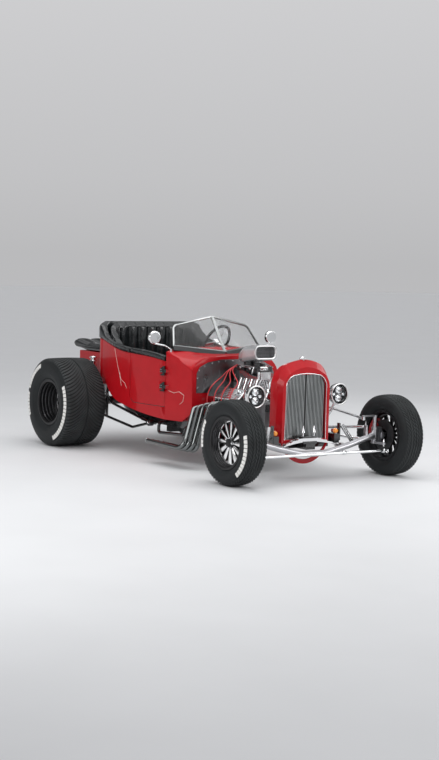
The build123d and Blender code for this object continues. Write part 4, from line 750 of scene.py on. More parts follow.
def hexagon_bolt(radius: float, height: float) -> Mesh:
    """A hexagon head on a washer, standing on the origin along +Z.

    Args:
        radius: The head's radius.
        height: Its height.

    Returns:
        The mesh.
    """
    washer, tip, step, chamfer = 1.35 * radius, 0.82 * radius, 0.2 * height, 0.85 * height
    rings = ((washer, 0.0, 12), (washer, step, 12), (radius, step, 6), (radius, chamfer, 6), (tip, height, 6))
    verts = []
    for r, z, count in rings:
        angles = [tau * (k if count == 12 else 2 * (k // 2)) / 12 for k in range(12)]
        verts += [(r * cos(a), r * sin(a), z) for a in angles]
    top = 12 * (len(rings) - 1)
    caps = [[top + k for k in range(0, 12, 2)], list(reversed(range(12)))]
    return mesh_of(verts, quads(len(rings), 12, round_cols=True) + caps, thinned)


def rounded_block(size: Point, radius: float, centre: Point = (0, 0, 0)) -> Mesh:
    """A block with rounded edges.

    Args:
        size: Length along X, Y and Z.
        radius: The rounding.
        centre: The block's middle.

    Returns:
        The mesh.
    """
    work = bmesh.new()
    bmesh.ops.create_cube(work, size=1.0)
    bmesh.ops.scale(work, vec=Vector(size), verts=work.verts)
    bmesh.ops.bevel(work, geom=work.edges[:], offset=radius, segments=3, affect="EDGES", profile=0.5)
    bmesh.ops.translate(work, vec=Vector(centre), verts=work.verts)
    mesh = bpy.data.meshes.new("block")
    work.to_mesh(mesh)
    work.free()
    return mesh


def block(size: Point, radius: float, centre: Point, finish: Finish, name: str = "block") -> Thing:
    """A block with rounded edges, dressed."""
    return dressed(name, rounded_block(size, radius, centre), finish)


def turned(
    profile: Profile, spot: Point, axis: Point, finish: Finish, steps: int = 48, angle: float = 30.0,
    name: str = "turned",
) -> Thing:
    """A turned piece that stands on a spot along an axis.

    Args:
        profile: Pairs of radius and height.
        spot: Where height 0 lies.
        axis: Where the piece points.
        finish: Its finish.
        steps: Divisions around.
        angle: Edges sharper than this stay sharp, in degrees.
        name: Its name.

    Returns:
        The piece.
    """
    return dressed(name, turned_to(lathe(profile, steps), spot, axis), finish, angle)


def bolt(radius: float, height: float, spot: Point, axis: Point, finish: Finish = PALETTE.chrome) -> Thing:
    """A bolt's head on a spot, pointing along an axis."""
    return dressed("bolt", turned_to(hexagon_bolt(radius, height), spot, axis), finish)


def straight(start: Point, end: Point, radius: float, finish: Finish, sides: int = 16) -> Thing:
    """A straight round bar between two points.

    Args:
        start: One end.
        end: The other end.
        radius: The bar's radius.
        finish: Its finish.
        sides: Divisions around.

    Returns:
        The bar.
    """
    a, b = Vector(start), Vector(end)
    length = (b - a).length
    return turned([(0, 0), (radius, 0), (radius, length), (0, length)], a, b - a, finish, sides, 40)


def bar(
    points: Sequence[Point], radius: float, finish: Finish, sides: int = 12, closed: bool = False,
    name: str = "bar",
) -> Thing:
    """A round bar or lead through points, as a smooth mesh.

    Args:
        points: Points that the centre line passes near, in metres.
        radius: The bar's radius.
        finish: Its finish.
        sides: Divisions around.
        closed: Whether the line closes on itself.
        name: Its name.

    Returns:
        The bar as a mesh object.
    """
    curve = bpy.data.curves.new(name, "CURVE")
    curve.dimensions = "3D"
    curve.bevel_depth = radius
    curve.bevel_resolution = max(1, sides // 4)
    curve.use_fill_caps = True
    line = curve.splines.new("NURBS")
    line.points.add(len(points) - 1)
    for point, spot in zip(line.points, points):
        point.co = (*spot, 1.0)
    line.order_u = 3 if len(points) > 2 else 2
    line.use_endpoint_u = not closed
    line.use_cyclic_u = closed
    line.resolution_u = 8
    made = evaluated(link(name, curve))
    made.data.materials.clear()
    made.data.materials.append(finish.material())
    return smooth(made, 50)


def arc_points(start: Point, middle: Point, end: Point, steps: int) -> list[tuple[float, float]]:
    """Points along the circle through three places in a plane, both ends included.

    Args:
        start: First place.
        middle: Second place.
        end: Last place.
        steps: Divisions between the ends.

    Returns:
        The points.
    """
    (ax, ay), (bx, by), (cx, cy) = start, middle, end
    aa, bb, cc = ax * ax + ay * ay, bx * bx + by * by, cx * cx + cy * cy
    d = 2 * (ax * (by - cy) + bx * (cy - ay) + cx * (ay - by))
    ux = (aa * (by - cy) + bb * (cy - ay) + cc * (ay - by)) / d
    uy = (aa * (cx - bx) + bb * (ax - cx) + cc * (bx - ax)) / d
    radius = hypot(ax - ux, ay - uy)
    first, mid, last = atan2(ay - uy, ax - ux), atan2(by - uy, bx - ux), atan2(cy - uy, cx - ux)
    span, part = (last - first) % tau, (mid - first) % tau
    if part > span:
        span -= tau
    angles = [first + span * k / steps for k in range(steps + 1)]
    return [(ux + radius * cos(a), uy + radius * sin(a)) for a in angles]


def ray_tree(mesh: Mesh) -> BVHTree:
    """A tree of a mesh's faces for casting rays."""
    return BVHTree.FromPolygons([v.co for v in mesh.vertices], [p.vertices[:] for p in mesh.polygons])


@dataclass(frozen=True)
class TyreSize:
    """Sizes of one tyre, in metres and degrees, with its side's white arcs."""

    label: str
    axle_x: float
    centre_y: float
    radius: float
    width: float
    lip_y: float
    shoulder: float
    groove: float
    pitches: int
    sweep: float
    white_radius: float
    white_height: float
    arcs: tuple[tuple[float, float], ...]

    @property
    def half(self) -> float:
        """Half the tyre's width."""
        return self.width / 2

    @property
    def pitch(self) -> float:
        """Angle from one piece of tread to the next."""
        return tau / self.pitches


class Tyres:
    """Four tyres: a smooth carcass, a tread laid round it block by block, and plain raised white bars."""

    FRONT = TyreSize(
        "front", FRONT_AXLE_X, FRONT_Y, FRONT_RADIUS, width=0.198, lip_y=0.076, shoulder=0.024, groove=0.0070,
        pitches=64, sweep=0.030, white_radius=0.285, white_height=0.036, arcs=((149, 193), (-52, 18)),
    )
    REAR = TyreSize(
        "rear", REAR_AXLE_X, REAR_Y, REAR_RADIUS, width=0.416, lip_y=0.178, shoulder=0.030, groove=0.0085,
        pitches=76, sweep=0.250, white_radius=0.334, white_height=0.042,
        arcs=((111, 163), (169, 206), (-68, 29)),
    )
    # Start, end, lean and fill of each row of blocks on the front tread.
    BLOCK_ROWS = ((-0.080, -0.056, 1.1, 0.60), (-0.050, -0.029, -1.0, 0.70), (-0.023, -0.003, 0.9, 0.72),
                  (0.003, 0.023, 0.9, 0.72), (0.029, 0.050, -1.0, 0.70), (0.056, 0.080, 1.1, 0.60))
    crown_fall = 0.004
    wall_foot = 0.213
    wall_steps = 18
    ring_steps = (3, 14)
    bar_length = 0.033
    bar_rise = 0.0018
    bar_grid = 5

    def build(self) -> None:
        """Builds all four tyres and seats them on their wheels."""
        for size in (self.FRONT, self.REAR):
            for side in Side:
                self.one(size, side)

    def crown(self, size: TyreSize, y: float) -> float:
        """Outer radius of the tread at a distance from the tyre's middle plane.

        Args:
            size: The tyre's sizes.
            y: The distance.

        Returns:
            The radius.
        """
        flat, edge = size.half - 1.4 * size.shoulder, size.half - 0.5 * size.shoulder
        away = abs(y)
        if away <= flat:
            return size.radius - self.crown_fall * (away / flat) ** 2
        share = min(1.0, (away - flat) / (edge - flat))
        rise = (size.shoulder - self.crown_fall) * max(0.0, 1 - share * share) ** 0.5
        return size.radius - size.shoulder + rise

    def wall(self, size: TyreSize) -> list[tuple[float, float]]:
        """Points of the sidewall from the shoulder down to the rim.

        Args:
            size: The tyre's sizes.

        Returns:
            Pairs of Y and radius, flat high up and round low down.
        """
        high, low = size.radius - size.shoulder, self.wall_foot
        widest = 0.42 * high + 0.58 * low
        points = []
        for k in range(self.wall_steps + 1):
            r = high + (low - high) * k / self.wall_steps
            if r > widest:
                inset = 0.5 * size.shoulder * ((r - widest) / (high - widest)) ** 3
            else:
                inset = (size.half - size.lip_y - 0.006) * ((widest - r) / (widest - low)) ** 2
            points.append((size.half - inset, r))
        return points

    def carcass(self, size: TyreSize) -> Mesh:
        """The tyre's body under the tread, with fine rings in the sidewalls.

        Args:
            size: The tyre's sizes.

        Returns:
            The mesh.
        """
        edge, steps = size.half - 0.62 * size.shoulder, 14
        across = [edge - 2 * edge * k / steps for k in range(steps + 1)]
        tread = [(y, self.crown(size, y) - size.groove) for y in across]
        fall = [0.0012 if j in self.ring_steps else 0.0 for j in range(self.wall_steps + 1)]
        side = [(y - drop, r) for drop, (y, r) in zip(fall, self.wall(size))]
        side += [(size.lip_y - 0.0003, 0.209), (size.lip_y - 0.0003, 0.1908)]
        return revolved(side[::-1] + tread + [(-y, r) for y, r in side], 120)

    def lug(
        self, size: TyreSize, span: tuple[float, float], steps: int, lean: Callable[[float], float],
        half: Callable[[float], float], levels: Profile,
    ) -> Mesh:
        """One raised piece of tread at the top of the tyre, as a closed strip across it.

        Args:
            size: The tyre's sizes.
            span: Y where the piece starts and ends.
            steps: Divisions along it.
            lean: Angle of its middle from the share of the way along it.
            half: Half its width as an angle, from the same share.
            levels: How far each edge lies under the crown, and how much wider than the half it is.

        Returns:
            The mesh.
        """
        sections = []
        for k in range(steps + 1):
            share = k / steps
            y = span[0] + (span[1] - span[0]) * share
            top = self.crown(size, y)
            edges = [(-1, level) for level in levels] + [(1, level) for level in levels[::-1]]
            turns = [(top - depth, lean(share) + end * half(share) * grow) for end, (depth, grow) in edges]
            sections.append([(r * sin(a), y, r * cos(a)) for r, a in turns])
        return strip(sections)

    def rib(self, size: TyreSize, sign: int) -> Mesh:
        """One swept rib of the rear tread from near the middle to the shoulder.

        Args:
            size: The tyre's sizes.
            sign: 1 or -1, the half of the tread it is on.

        Returns:
            The mesh.
        """
        return self.lug(
            size, (sign * 0.006, sign * (size.half - 0.53 * size.shoulder)), 14,
            lambda share: size.sweep / size.radius * (share - 0.45 * share * share),
            lambda share: size.pitch * 0.37 * (1 - 0.12 * share),
            ((size.groove + 0.004, 1.12), (0.0012, 1.0), (0.0, 0.86)),
        )

    def block(self, size: TyreSize, low: float, high: float, lean: float, fill: float) -> Mesh:
        """One block of the front tread between two distances from the middle plane.

        Args:
            size: The tyre's sizes.
            low: Where it starts.
            high: Where it ends.
            lean: How far it is turned, in pitches.
            fill: Its share of a pitch.

        Returns:
            The mesh.
        """
        return self.lug(
            size, (low, high), 3,
            lambda share: lean * size.pitch * (share - 0.5), lambda share: fill * size.pitch / 2,
            ((size.groove + 0.003, 1.1), (0.001, 1.0), (0.0, 0.88)),
        )

    def tread(self, size: TyreSize, centre: Point) -> list[Thing]:
        """The tread's rings of ribs or blocks round one tyre, every other one half a pitch on.

        Args:
            size: The tyre's sizes.
            centre: The wheel's centre.

        Returns:
            The rings.
        """
        if size is self.REAR:
            units = [self.rib(size, sign) for sign in (1, -1)]
        else:
            units = [self.block(size, *measures) for measures in self.BLOCK_ROWS]
        turns = [0.5 * size.pitch * (k % 2) for k in range(len(units))]
        return [ring(unit, size.pitches, PALETTE.tread, turn, centre) for unit, turn in zip(units, turns)]

    def white_bar(self, size: TyreSize, first: float, last: float) -> list[tuple[float, float, float]]:
        """Corner places of one raised bar, its underside first, as angle, Y and radius.

        Args:
            size: The tyre's sizes.
            first: Where the bar starts, as an angle.
            last: Where it ends.

        Returns:
            The places.
        """
        wall = sorted((r, y) for y, r in self.wall(size))
        radii, offsets = [r for r, _ in wall], [y for _, y in wall]
        middle = float(np.interp(size.white_radius, radii, offsets))
        last_step = self.bar_grid - 1
        places = []
        for raised in (False, True):
            for i in range(self.bar_grid):
                for j in range(self.bar_grid):
                    r = size.white_radius + (j / last_step - 0.5) * size.white_height
                    y = float(np.interp(r, radii, offsets))
                    y = 0.4 * y + 0.6 * middle + self.bar_rise if raised else y - 0.002
                    if raised and (i in (0, last_step) or j in (0, last_step)):
                        y -= 0.0006
                    places.append((first + (last - first) * i / last_step, y, r))
        return places

    def white_bars(self, size: TyreSize, side: Side) -> Thing:
        """Plain raised bars in arcs on the outer sidewall.

        Args:
            size: The tyre's sizes.
            side: The car's side.

        Returns:
            The bars as one piece.
        """
        verts, faces = [], []
        for low, high in size.arcs:
            span = radians(high - low)
            count = max(3, round(span * size.white_radius / self.bar_length))
            for k in range(count):
                faces += slab_faces(self.bar_grid, self.bar_grid, len(verts))
                ends = [radians(low) + span * (k + share) / count for share in (0.07, 0.93)]
                for a, y, r in self.white_bar(size, *ends):
                    ahead, up = r * cos(a), r * sin(a)
                    verts.append(side.at(size.axle_x + ahead, size.centre_y + y, size.radius + up))
        name = f"white_bars_{size.label}_{side.name.lower()}"
        return dressed(name, mesh_of(verts, faces), PALETTE.white, 40)

    def one(self, size: TyreSize, side: Side) -> None:
        """Builds one tyre, its tread and its white bars.

        Args:
            size: The tyre's sizes.
            side: The car's side.
        """
        label = f"{size.label}_{side.name.lower()}"
        centre = side.at(size.axle_x, size.centre_y, size.radius)
        mesh = self.carcass(size)
        mesh.transform(Matrix.Translation(Vector(centre)))
        carcass = dressed(f"carcass_{label}", mesh, PALETTE.rubber, 50)
        tread = smooth(joined(f"tread_{label}", self.tread(size, centre)), 34)
        place(tread, f"{label}_wheel", "tyre_rubber")
        place(carcass, f"{label}_wheel", "tyre_rubber", f"tyre_{label}")
        place(self.white_bars(size, side), f"{label}_wheel", "tyre_rubber")


@dataclass(frozen=True)
class WheelSize:
    """Sizes of one wheel, in metres."""

    label: str
    axle_x: float
    centre_y: float
    centre_z: float
    lip_y: float
    disc_y: float
    disc_radius: float
    steps: int
    rotor: bool


class Wheels:
    """Deep alloy wheels: black stepped barrel, and open black spokes that each carry a polished paddle.

    The profiles are pairs of Y and radius. LIP is measured from the lip's plane, RIM from the disc's face
    and edge, ROTOR from the wheel's middle, and the others from the disc's face.
    """

    FRONT = WheelSize("front", FRONT_AXLE_X, FRONT_Y, FRONT_RADIUS, 0.076, 0.0265, 0.171, 3, True)
    REAR = WheelSize("rear", REAR_AXLE_X, REAR_Y, REAR_RADIUS, 0.178, 0.0175, 0.152, 5, False)
    LIP = mm(0.5, 189.5, 0.5, 206.8, 3, 207.2, 5.2, 205.5, 5.4, 196, 4.8, 189, 2.8, 186.2, -4, 185.3,
             -4, 188)
    RIM = mm(-12, 1, 1, 1, 2, -2, 2, -9, 0, -12, -12, -12)
    HUB = mm(-22, 0, -22, 46, 1, 46, 10, 43, 10, 0)
    CAP = mm(9, 0, 9, 34, 24, 32, 29, 26, 30.5, 12, 31, 0)
    COLLAR = mm(11, 33, 11, 37, 16, 37, 16, 33)
    BACKING = mm(-12, 21, -12, 60, -5, 60, -5, 21)
    ROTOR = mm(-66, 62, -66, 124, -65, 126, -60, 126, -60, 118, -54, 118, -54, 126, -49, 126, -48, 124,
               -48, 85, -46, 82, -46, 64, 22.5, 60, 22.5, 46, -65, 46)
    RIVET = mm(0, 0, 3.5, 0, 3.5, 1.8, 2.2, 3.2, 0, 3.6)
    VALVE = mm(0, 0, 3, 0, 3, 18, 4.2, 19, 4.2, 26, 0, 27)
    BLADE_HALVES = (0.008, 0.012, 0.019, 0.0165)
    seat = 0.1855
    flange = 0.1905
    paddles = 12
    blade_rows = 10
    blade_cols = 6

    def build(self) -> None:
        """Builds all four wheels."""
        for size in (self.FRONT, self.REAR):
            for side in Side:
                self.one(size, side)

    def barrel(self, size: WheelSize) -> Thing:
        """The dark stepped barrel about the origin, facing +Y, with a painted highlight: lighter grey on its
        steps' slanted edges.

        Args:
            size: The wheel's sizes.

        Returns:
            The barrel.
        """
        lip, disc, inner, seat, flange = size.lip_y, size.disc_y, size.disc_radius, self.seat, self.flange
        section = [
            (lip + 0.001, flange), (disc + 0.008, flange), (disc - 0.004, inner + 0.006),
            (0.05 - lip, inner + 0.006), (0.034 - lip, flange), (-lip, flange), (-lip, 0.2068),
            (-lip - 0.005, 0.2068), (-lip - 0.005, seat), (0.034 - lip, seat - 0.002), (0.05 - lip, inner),
            (disc, inner),
        ]
        start = disc + 0.012
        for step in range(size.steps):
            low, high = (start + (lip - start) * (step + end) / size.steps for end in (0, 1))
            r = inner + (seat - inner) * (step + 0.6) / size.steps
            section += [(low, r - 0.0012), (low + 0.002, r), (high - 0.004, r), (high - 0.002, r - 0.0016)]
        section.append((lip + 0.0005, seat - 0.001))

        def edge(face: Face) -> bool:
            """Whether a face is a step's slanted edge, which takes the painted highlight."""
            return face.center.y > disc + 0.011 and 0.3 < abs(face.normal.y) < 0.9 and face.area < 4e-5

        shell = dressed("barrel", revolved(section, 96), PALETTE.wheel_black, 32)
        return paint_faces(shell, PALETTE.wheel_grey, edge)

    def blade(self, size: WheelSize, trim: float, low: float, high: float, crown: float) -> Mesh:
        """One spoke or the paddle on it: a flat-backed blade that widens outwards and narrows at its tip.

        Args:
            size: The wheel's sizes.
            trim: How much narrower than the spoke the blade is on each side.
            low: Y of the blade's back.
            high: Y of the blade's front at its edges.
            crown: How far the front stands proud along the blade's middle.

        Returns:
            The blade's mesh, pointing up from the origin.
        """
        root, tip = 0.040, size.disc_radius - 0.007
        radii = (0.036, 0.080, size.disc_radius - 0.040, size.disc_radius - 0.008)
        verts = []
        for front in (True, False):
            for j in range(self.blade_rows + 1):
                share = j / self.blade_rows
                r = root + (tip - root) * share
                half = float(np.interp(r, radii, self.BLADE_HALVES)) - trim
                for i in range(self.blade_cols + 1):
                    across = 2 * i / self.blade_cols - 1
                    rise = crown * (1 - across * across) * (1 - (2 * share - 1) ** 6)
                    verts.append((across * half, high + rise + 0.0022 * across if front else low, r))
        return mesh_of(verts, slab_faces(self.blade_rows + 1, self.blade_cols + 1))

    def parts(self, size: WheelSize) -> list[Thing]:
        """Everything on one wheel, about the origin and facing +Y.

        Args:
            size: The wheel's sizes.

        Returns:
            The wheel's pieces.
        """
        disc, edge = size.disc_y, size.disc_radius

        def spun(
            profile: Profile, y: float, r: float, steps: int, finish: Finish, angle: float = 30.0,
            closed: bool = True,
        ) -> Thing:
            """A ring from a profile moved by Y and radius."""
            moved = [(y + a, r + b) for a, b in profile]
            return dressed("ring", revolved(moved, steps, closed), finish, angle)

        def standing(mesh: Mesh, y: float, z: float, axis: Point = OUT) -> Mesh:
            """A unit that stands on the disc's face or beside it."""
            return turned_to(mesh, (0, disc + y, z), axis)

        spoke = self.blade(size, 0.0, disc - 0.012, disc + 0.001, 0.0005)
        paddle = self.blade(size, 0.0012, disc - 0.001, disc + 0.004, 0.0032)
        nut = standing(hexagon_bolt(0.0085, 0.016), 0.009, 0.0415)
        rivet = standing(lathe(self.RIVET, 8), 0.0115, edge + 0.0075)
        valve = standing(lathe(self.VALVE, 10), 0.02, edge + 0.004, (0, cos(0.3), sin(0.3)))
        behind = (
            spun(self.ROTOR, 0, 0, 72, PALETTE.dark_steel) if size.rotor
            else spun(self.BACKING, disc, 0, 40, PALETTE.wheel_black)
        )
        return [
            self.barrel(size),
            spun(self.LIP, size.lip_y, 0, 128, PALETTE.wheel_black, 40),
            spun(self.RIM, disc, edge, 96, PALETTE.polished, 36),
            spun(self.HUB, disc, 0, 48, PALETTE.wheel_black, 32, False),
            smooth(ring(spoke, self.paddles, PALETTE.wheel_black), 40),
            smooth(ring(paddle, self.paddles, PALETTE.paddle), 50),
            spun(self.CAP, disc, 0, 40, PALETTE.wheel_black, 28, False),
            spun(self.COLLAR, disc, 0, 40, PALETTE.polished),
            smooth(ring(nut, 5, PALETTE.chrome, 0.3)),
            smooth(ring(rivet, 28, PALETTE.polished, 0.1)),
            behind,
            dressed("valve", valve, PALETTE.soft_black),
        ]

    def one(self, size: WheelSize, side: Side) -> None:
        """Builds one wheel in its place; a right wheel is the left one's mirror image.

        Args:
            size: The wheel's sizes.
            side: The car's side.
        """
        label = f"{size.label}_{side.name.lower()}"
        whole = joined(f"alloy_{label}", self.parts(size))
        centre = side.at(size.axle_x, size.centre_y, size.centre_z)
        whole.data.transform(Matrix.Translation(centre) @ Matrix.Scale(side.value, 4, OUT))
        if side is Side.RIGHT:
            whole.data.flip_normals()
        place(smooth(whole, 34), f"{label}_wheel", "wheel_alloy", f"wheel_{label}")


@dataclass(frozen=True)
class Body:
    """The tub, its door and bed: painted steel outside, dark lining inside, with trim."""

    lining_floor: float = 0.66
    lining_low: float = 0.372
    hinge_heights: tuple[float, float] = (0.630, 0.765)
    hinge_x: float = 0.029
    hinge_y: float = -0.526
    stripe_radius: float = 0.0016
    stripe_lift: float = 0.0002
    firewall_x: float = 0.339
    dash_z: float = 0.872
    tail_y: float = 0.32
    tail_z: float = 0.76

    # Half of the firewall panel's outline as Y and Z, from the foot to the crest.
    PANEL = mm(400, 600, 400, 765, 372, 815, 290, 855, 150, 878)
    BEADS_Y = (-0.33, -0.25, -0.17, 0.17, 0.25, 0.33)
    # Y and radius of each gauge, and Y of each knob.
    GAUGES = ((0.30, 0.030), (0.22, 0.040), (0.135, 0.040), (0.055, 0.026), (-0.015, 0.026))
    GAUGE = mm(-4, 0, 0, 0, 0, 6, -2, 9, -5, 9, -5, 4)
    KNOBS_Y = (-0.09, -0.13, -0.17)
    KNOB = mm(0, 0, 4, 0, 4, 12, 9, 14, 9, 22, 6, 25, 0, 25)
    SCREW = mm(0, 0, 4.2, 0, 3.8, 1.8, 0, 2.6)
    # The pale lines as X and Z.
    RUNS = (
        ((-0.735, 0.905), (-0.71, 0.84), (-0.675, 0.765), (-0.64, 0.69), (-0.60, 0.635), (-0.545, 0.615),
         (-0.51, 0.57)),
        ((-0.635, 0.70), (-0.62, 0.64), (-0.60, 0.585)),
        ((0.075, 0.60), (0.13, 0.585), (0.19, 0.60), (0.245, 0.575), (0.235, 0.52), (0.20, 0.495)),
    )
    LAMP_RIM = mm(0, 0, 44.5, 0, 44.5, 10, 42, 14.5, 38, 16, 36.5, 12, 0, 12)
    LAMP_LENS = mm(36.2, 11, 36.2, 17, 34, 21, 30, 22.5, 28, 21.5, 22, 25, 20, 24, 12, 27.2, 10, 26.2, 0, 28)

    def build(self) -> None:
        """Builds the painted bodywork and its trim."""
        self.tub()
        self.door()
        self.bed()
        self.firewall_panel()
        self.dash()
        self.stripes()
        self.tail_lamps()
        self.plate_lamp()

    def lined(self, thing: Thing) -> None:
        """Gives a body shell its dark lining, on faces that look at the same shell or up at the floor.

        Args:
            thing: The shell.
        """
        tree = ray_tree(thing.data)

        def inside(face: Face) -> bool:
            """Whether a face lines the cavity.

            Args:
                face: A face of the shell.

            Returns:
                True for the lining.
            """
            x, y, z = face.center
            steep = face.normal.z > 0.05 and abs(y) < 0.49 and -1.08 < x < 0.28
            if face.normal.z > 0.6 or steep:
                return z < self.lining_floor
            hit = tree.ray_cast(face.center + face.normal * 0.002, face.normal, 1.4)
            return hit[0] is not None and -1.12 < x < 0.30 and z > self.lining_low

        paint_faces(thing, PALETTE.carpet, inside)

    def tub(self) -> None:
        """The tub's shell, its hinge leaves in black."""
        shell = copy_node("body_tub", PALETTE.red, 30)
        self.lined(shell)

        def on_leaf(face: Face) -> bool:
            """Whether a face is on a hinge leaf.

            Args:
                face: A face of the tub.

            Returns:
                True for a leaf.
            """
            x, y, z = face.center
            near = any(abs(z - height) < 0.024 for height in self.hinge_heights)
            return near and y < self.hinge_y - 0.001 and -0.02 < x < 0.09

        place(paint_faces(shell, PALETTE.soft_black, on_leaf), "chassis", "red_paint", "body_tub")

    def door(self) -> None:
        """The door's skin, its inner face lined and its hinge parts black."""
        skin = copy_node("door_right", PALETTE.red, 30)
        paint_faces(skin, PALETTE.carpet, lambda f: f.normal.y > 0.8)
        paint_faces(
            skin, PALETTE.soft_black,
            lambda f: f.center.x > self.hinge_x - 0.02 and f.center.y < self.hinge_y + 0.004,
        )
        place(skin, "door", "red_paint", "door_right")
        for k, z in enumerate(self.hinge_heights):
            centre = (self.hinge_x - 0.026, self.hinge_y - 0.008, z)
            parts = [block((0.040, 0.007, 0.034), 0.003, centre, PALETTE.soft_black)]
            for x in (self.hinge_x - 0.036, self.hinge_x - 0.018):
                for rise in (-0.009, 0.009):
                    spot = (x, self.hinge_y - 0.0112, z + rise)
                    parts.append(turned(self.SCREW, spot, (0, -1, 0), PALETTE.brushed, 12))
            place(joined(f"door_hinge_{k}", parts), "door", "black_frame")

    def bed(self) -> None:
        """The bed's box, open inside."""
        box = copy_node("bed_box", PALETTE.red, 30)
        paint_faces(box, PALETTE.carpet, lambda f: f.normal.z > 0.8 and f.center.z < 0.7)
        place(box, "chassis", "red_paint", "bed_box")

    def firewall_panel(self) -> None:
        """A polished panel with beads and bolts on the front of the firewall."""
        outline = [(-y, z) for y, z in self.PANEL] + list(self.PANEL[::-1])
        work = bmesh.new()
        work.faces.new([work.verts.new((self.firewall_x, y, z)) for y, z in outline])
        grown = bmesh.ops.extrude_face_region(work, geom=work.faces[:])
        moved = [v for v in grown["geom"] if isinstance(v, bmesh.types.BMVert)]
        bmesh.ops.translate(work, vec=(-0.0036, 0, 0), verts=moved)
        bmesh.ops.recalc_face_normals(work, faces=work.faces)
        bmesh.ops.bevel(work, geom=work.edges[:], offset=0.0012, segments=2, affect="EDGES")
        mesh = bpy.data.meshes.new("panel")
        work.to_mesh(mesh)
        work.free()
        parts = [dressed("panel", mesh, PALETTE.firewall)]
        for y in self.BEADS_Y:
            parts.append(bar([(self.firewall_x, y, z) for z in (0.63, 0.70, 0.80)], 0.003, PALETTE.firewall))
        for (ya, za), (yb, zb) in zip(outline, outline[1:]):
            count = max(1, round(hypot(yb - ya, zb - za) / 0.07))
            for n in range(count):
                share = (n + 0.5) / count
                y, z = ya + (yb - ya) * share, za + (zb - za) * share
                spot = (self.firewall_x - 0.0005, y * 0.972, z - 0.012 if abs(ya) < 0.38 else z)
                parts.append(bolt(0.004, 0.004, spot, AHEAD))
        fitted("firewall_panel", parts, "polished_alloy")

    def dash(self) -> None:
        """A polished dash with round gauges under the cowl's rear edge."""
        parts = [block((0.012, 0.78, 0.085), 0.005, (0.012, 0.0, self.dash_z), PALETTE.polished)]
        for y, r in self.GAUGES:
            rim = [(r + grow, h) for grow, h in self.GAUGE] + [(0, 0.004)]
            gauge = turned(rim, (0.0065, y, self.dash_z), BACK, PALETTE.chrome, 32)

            def on_dial(face: Face, y: float = y, r: float = r) -> bool:
                """Whether a face is on the gauge's dial."""
                return hypot(face.center.y - y, face.center.z - self.dash_z) < r - 0.006

            parts.append(paint_faces(gauge, PALETTE.black_paint, on_dial))
        parts += [turned(self.KNOB, (0.006, y, 0.868), BACK, PALETTE.chrome, 16) for y in self.KNOBS_Y]
        fitted("dash_panel", parts, "polished_alloy")

    def stripes(self) -> None:
        """Fine pale lines on both sides of the tub, laid on its skin."""
        skin = ray_tree(frame["nodes"]["body_tub"].data)
        lines = []
        for side in Side:
            for run in self.RUNS:
                fine = [
                    (xa + (xb - xa) * t / 6, za + (zb - za) * t / 6)
                    for (xa, za), (xb, zb) in zip(run, run[1:]) for t in range(6)
                ]
                points = []
                for x, z in fine + [run[-1]]:
                    hit = skin.ray_cast(Vector(side.at(x, 1.2, z)), Vector(side.at(0, -1, 0)), 1.0)
                    if hit[0] is not None and abs(hit[0].y) > 0.42:
                        points.append((x, hit[0].y + side.value * self.stripe_lift, z))
                if len(points) > 3:
                    lines.append(bar(points, self.stripe_radius, PALETTE.stripe, 8))
        fitted("side_lines", lines, "red_paint")

    def tail_lamps(self) -> None:
        """Round red tail lamps in chrome rims, with a stepped lens."""
        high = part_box("tail_lamps")[1]
        parts = []
        for side in Side:
            spot = side.at(high.x, self.tail_y, self.tail_z)
            parts.append(turned(self.LAMP_RIM, spot, BACK, PALETTE.chrome, 40, 24))
            parts.append(turned(self.LAMP_LENS, spot, BACK, PALETTE.ruby, 40, 24))
        fitted("tail_lamp_pair", parts, "red_lens", "tail_lamps")

    def plate_lamp(self) -> None:
        """A small chrome lamp over the licence plate's holes."""
        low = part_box("bed_box")[0]
        shade = block((0.018, 0.060, 0.022), 0.006, (low.x - 0.007, 0.0, 0.742), PALETTE.chrome, "plate_lamp")
        place(shade, "chassis", "chrome")


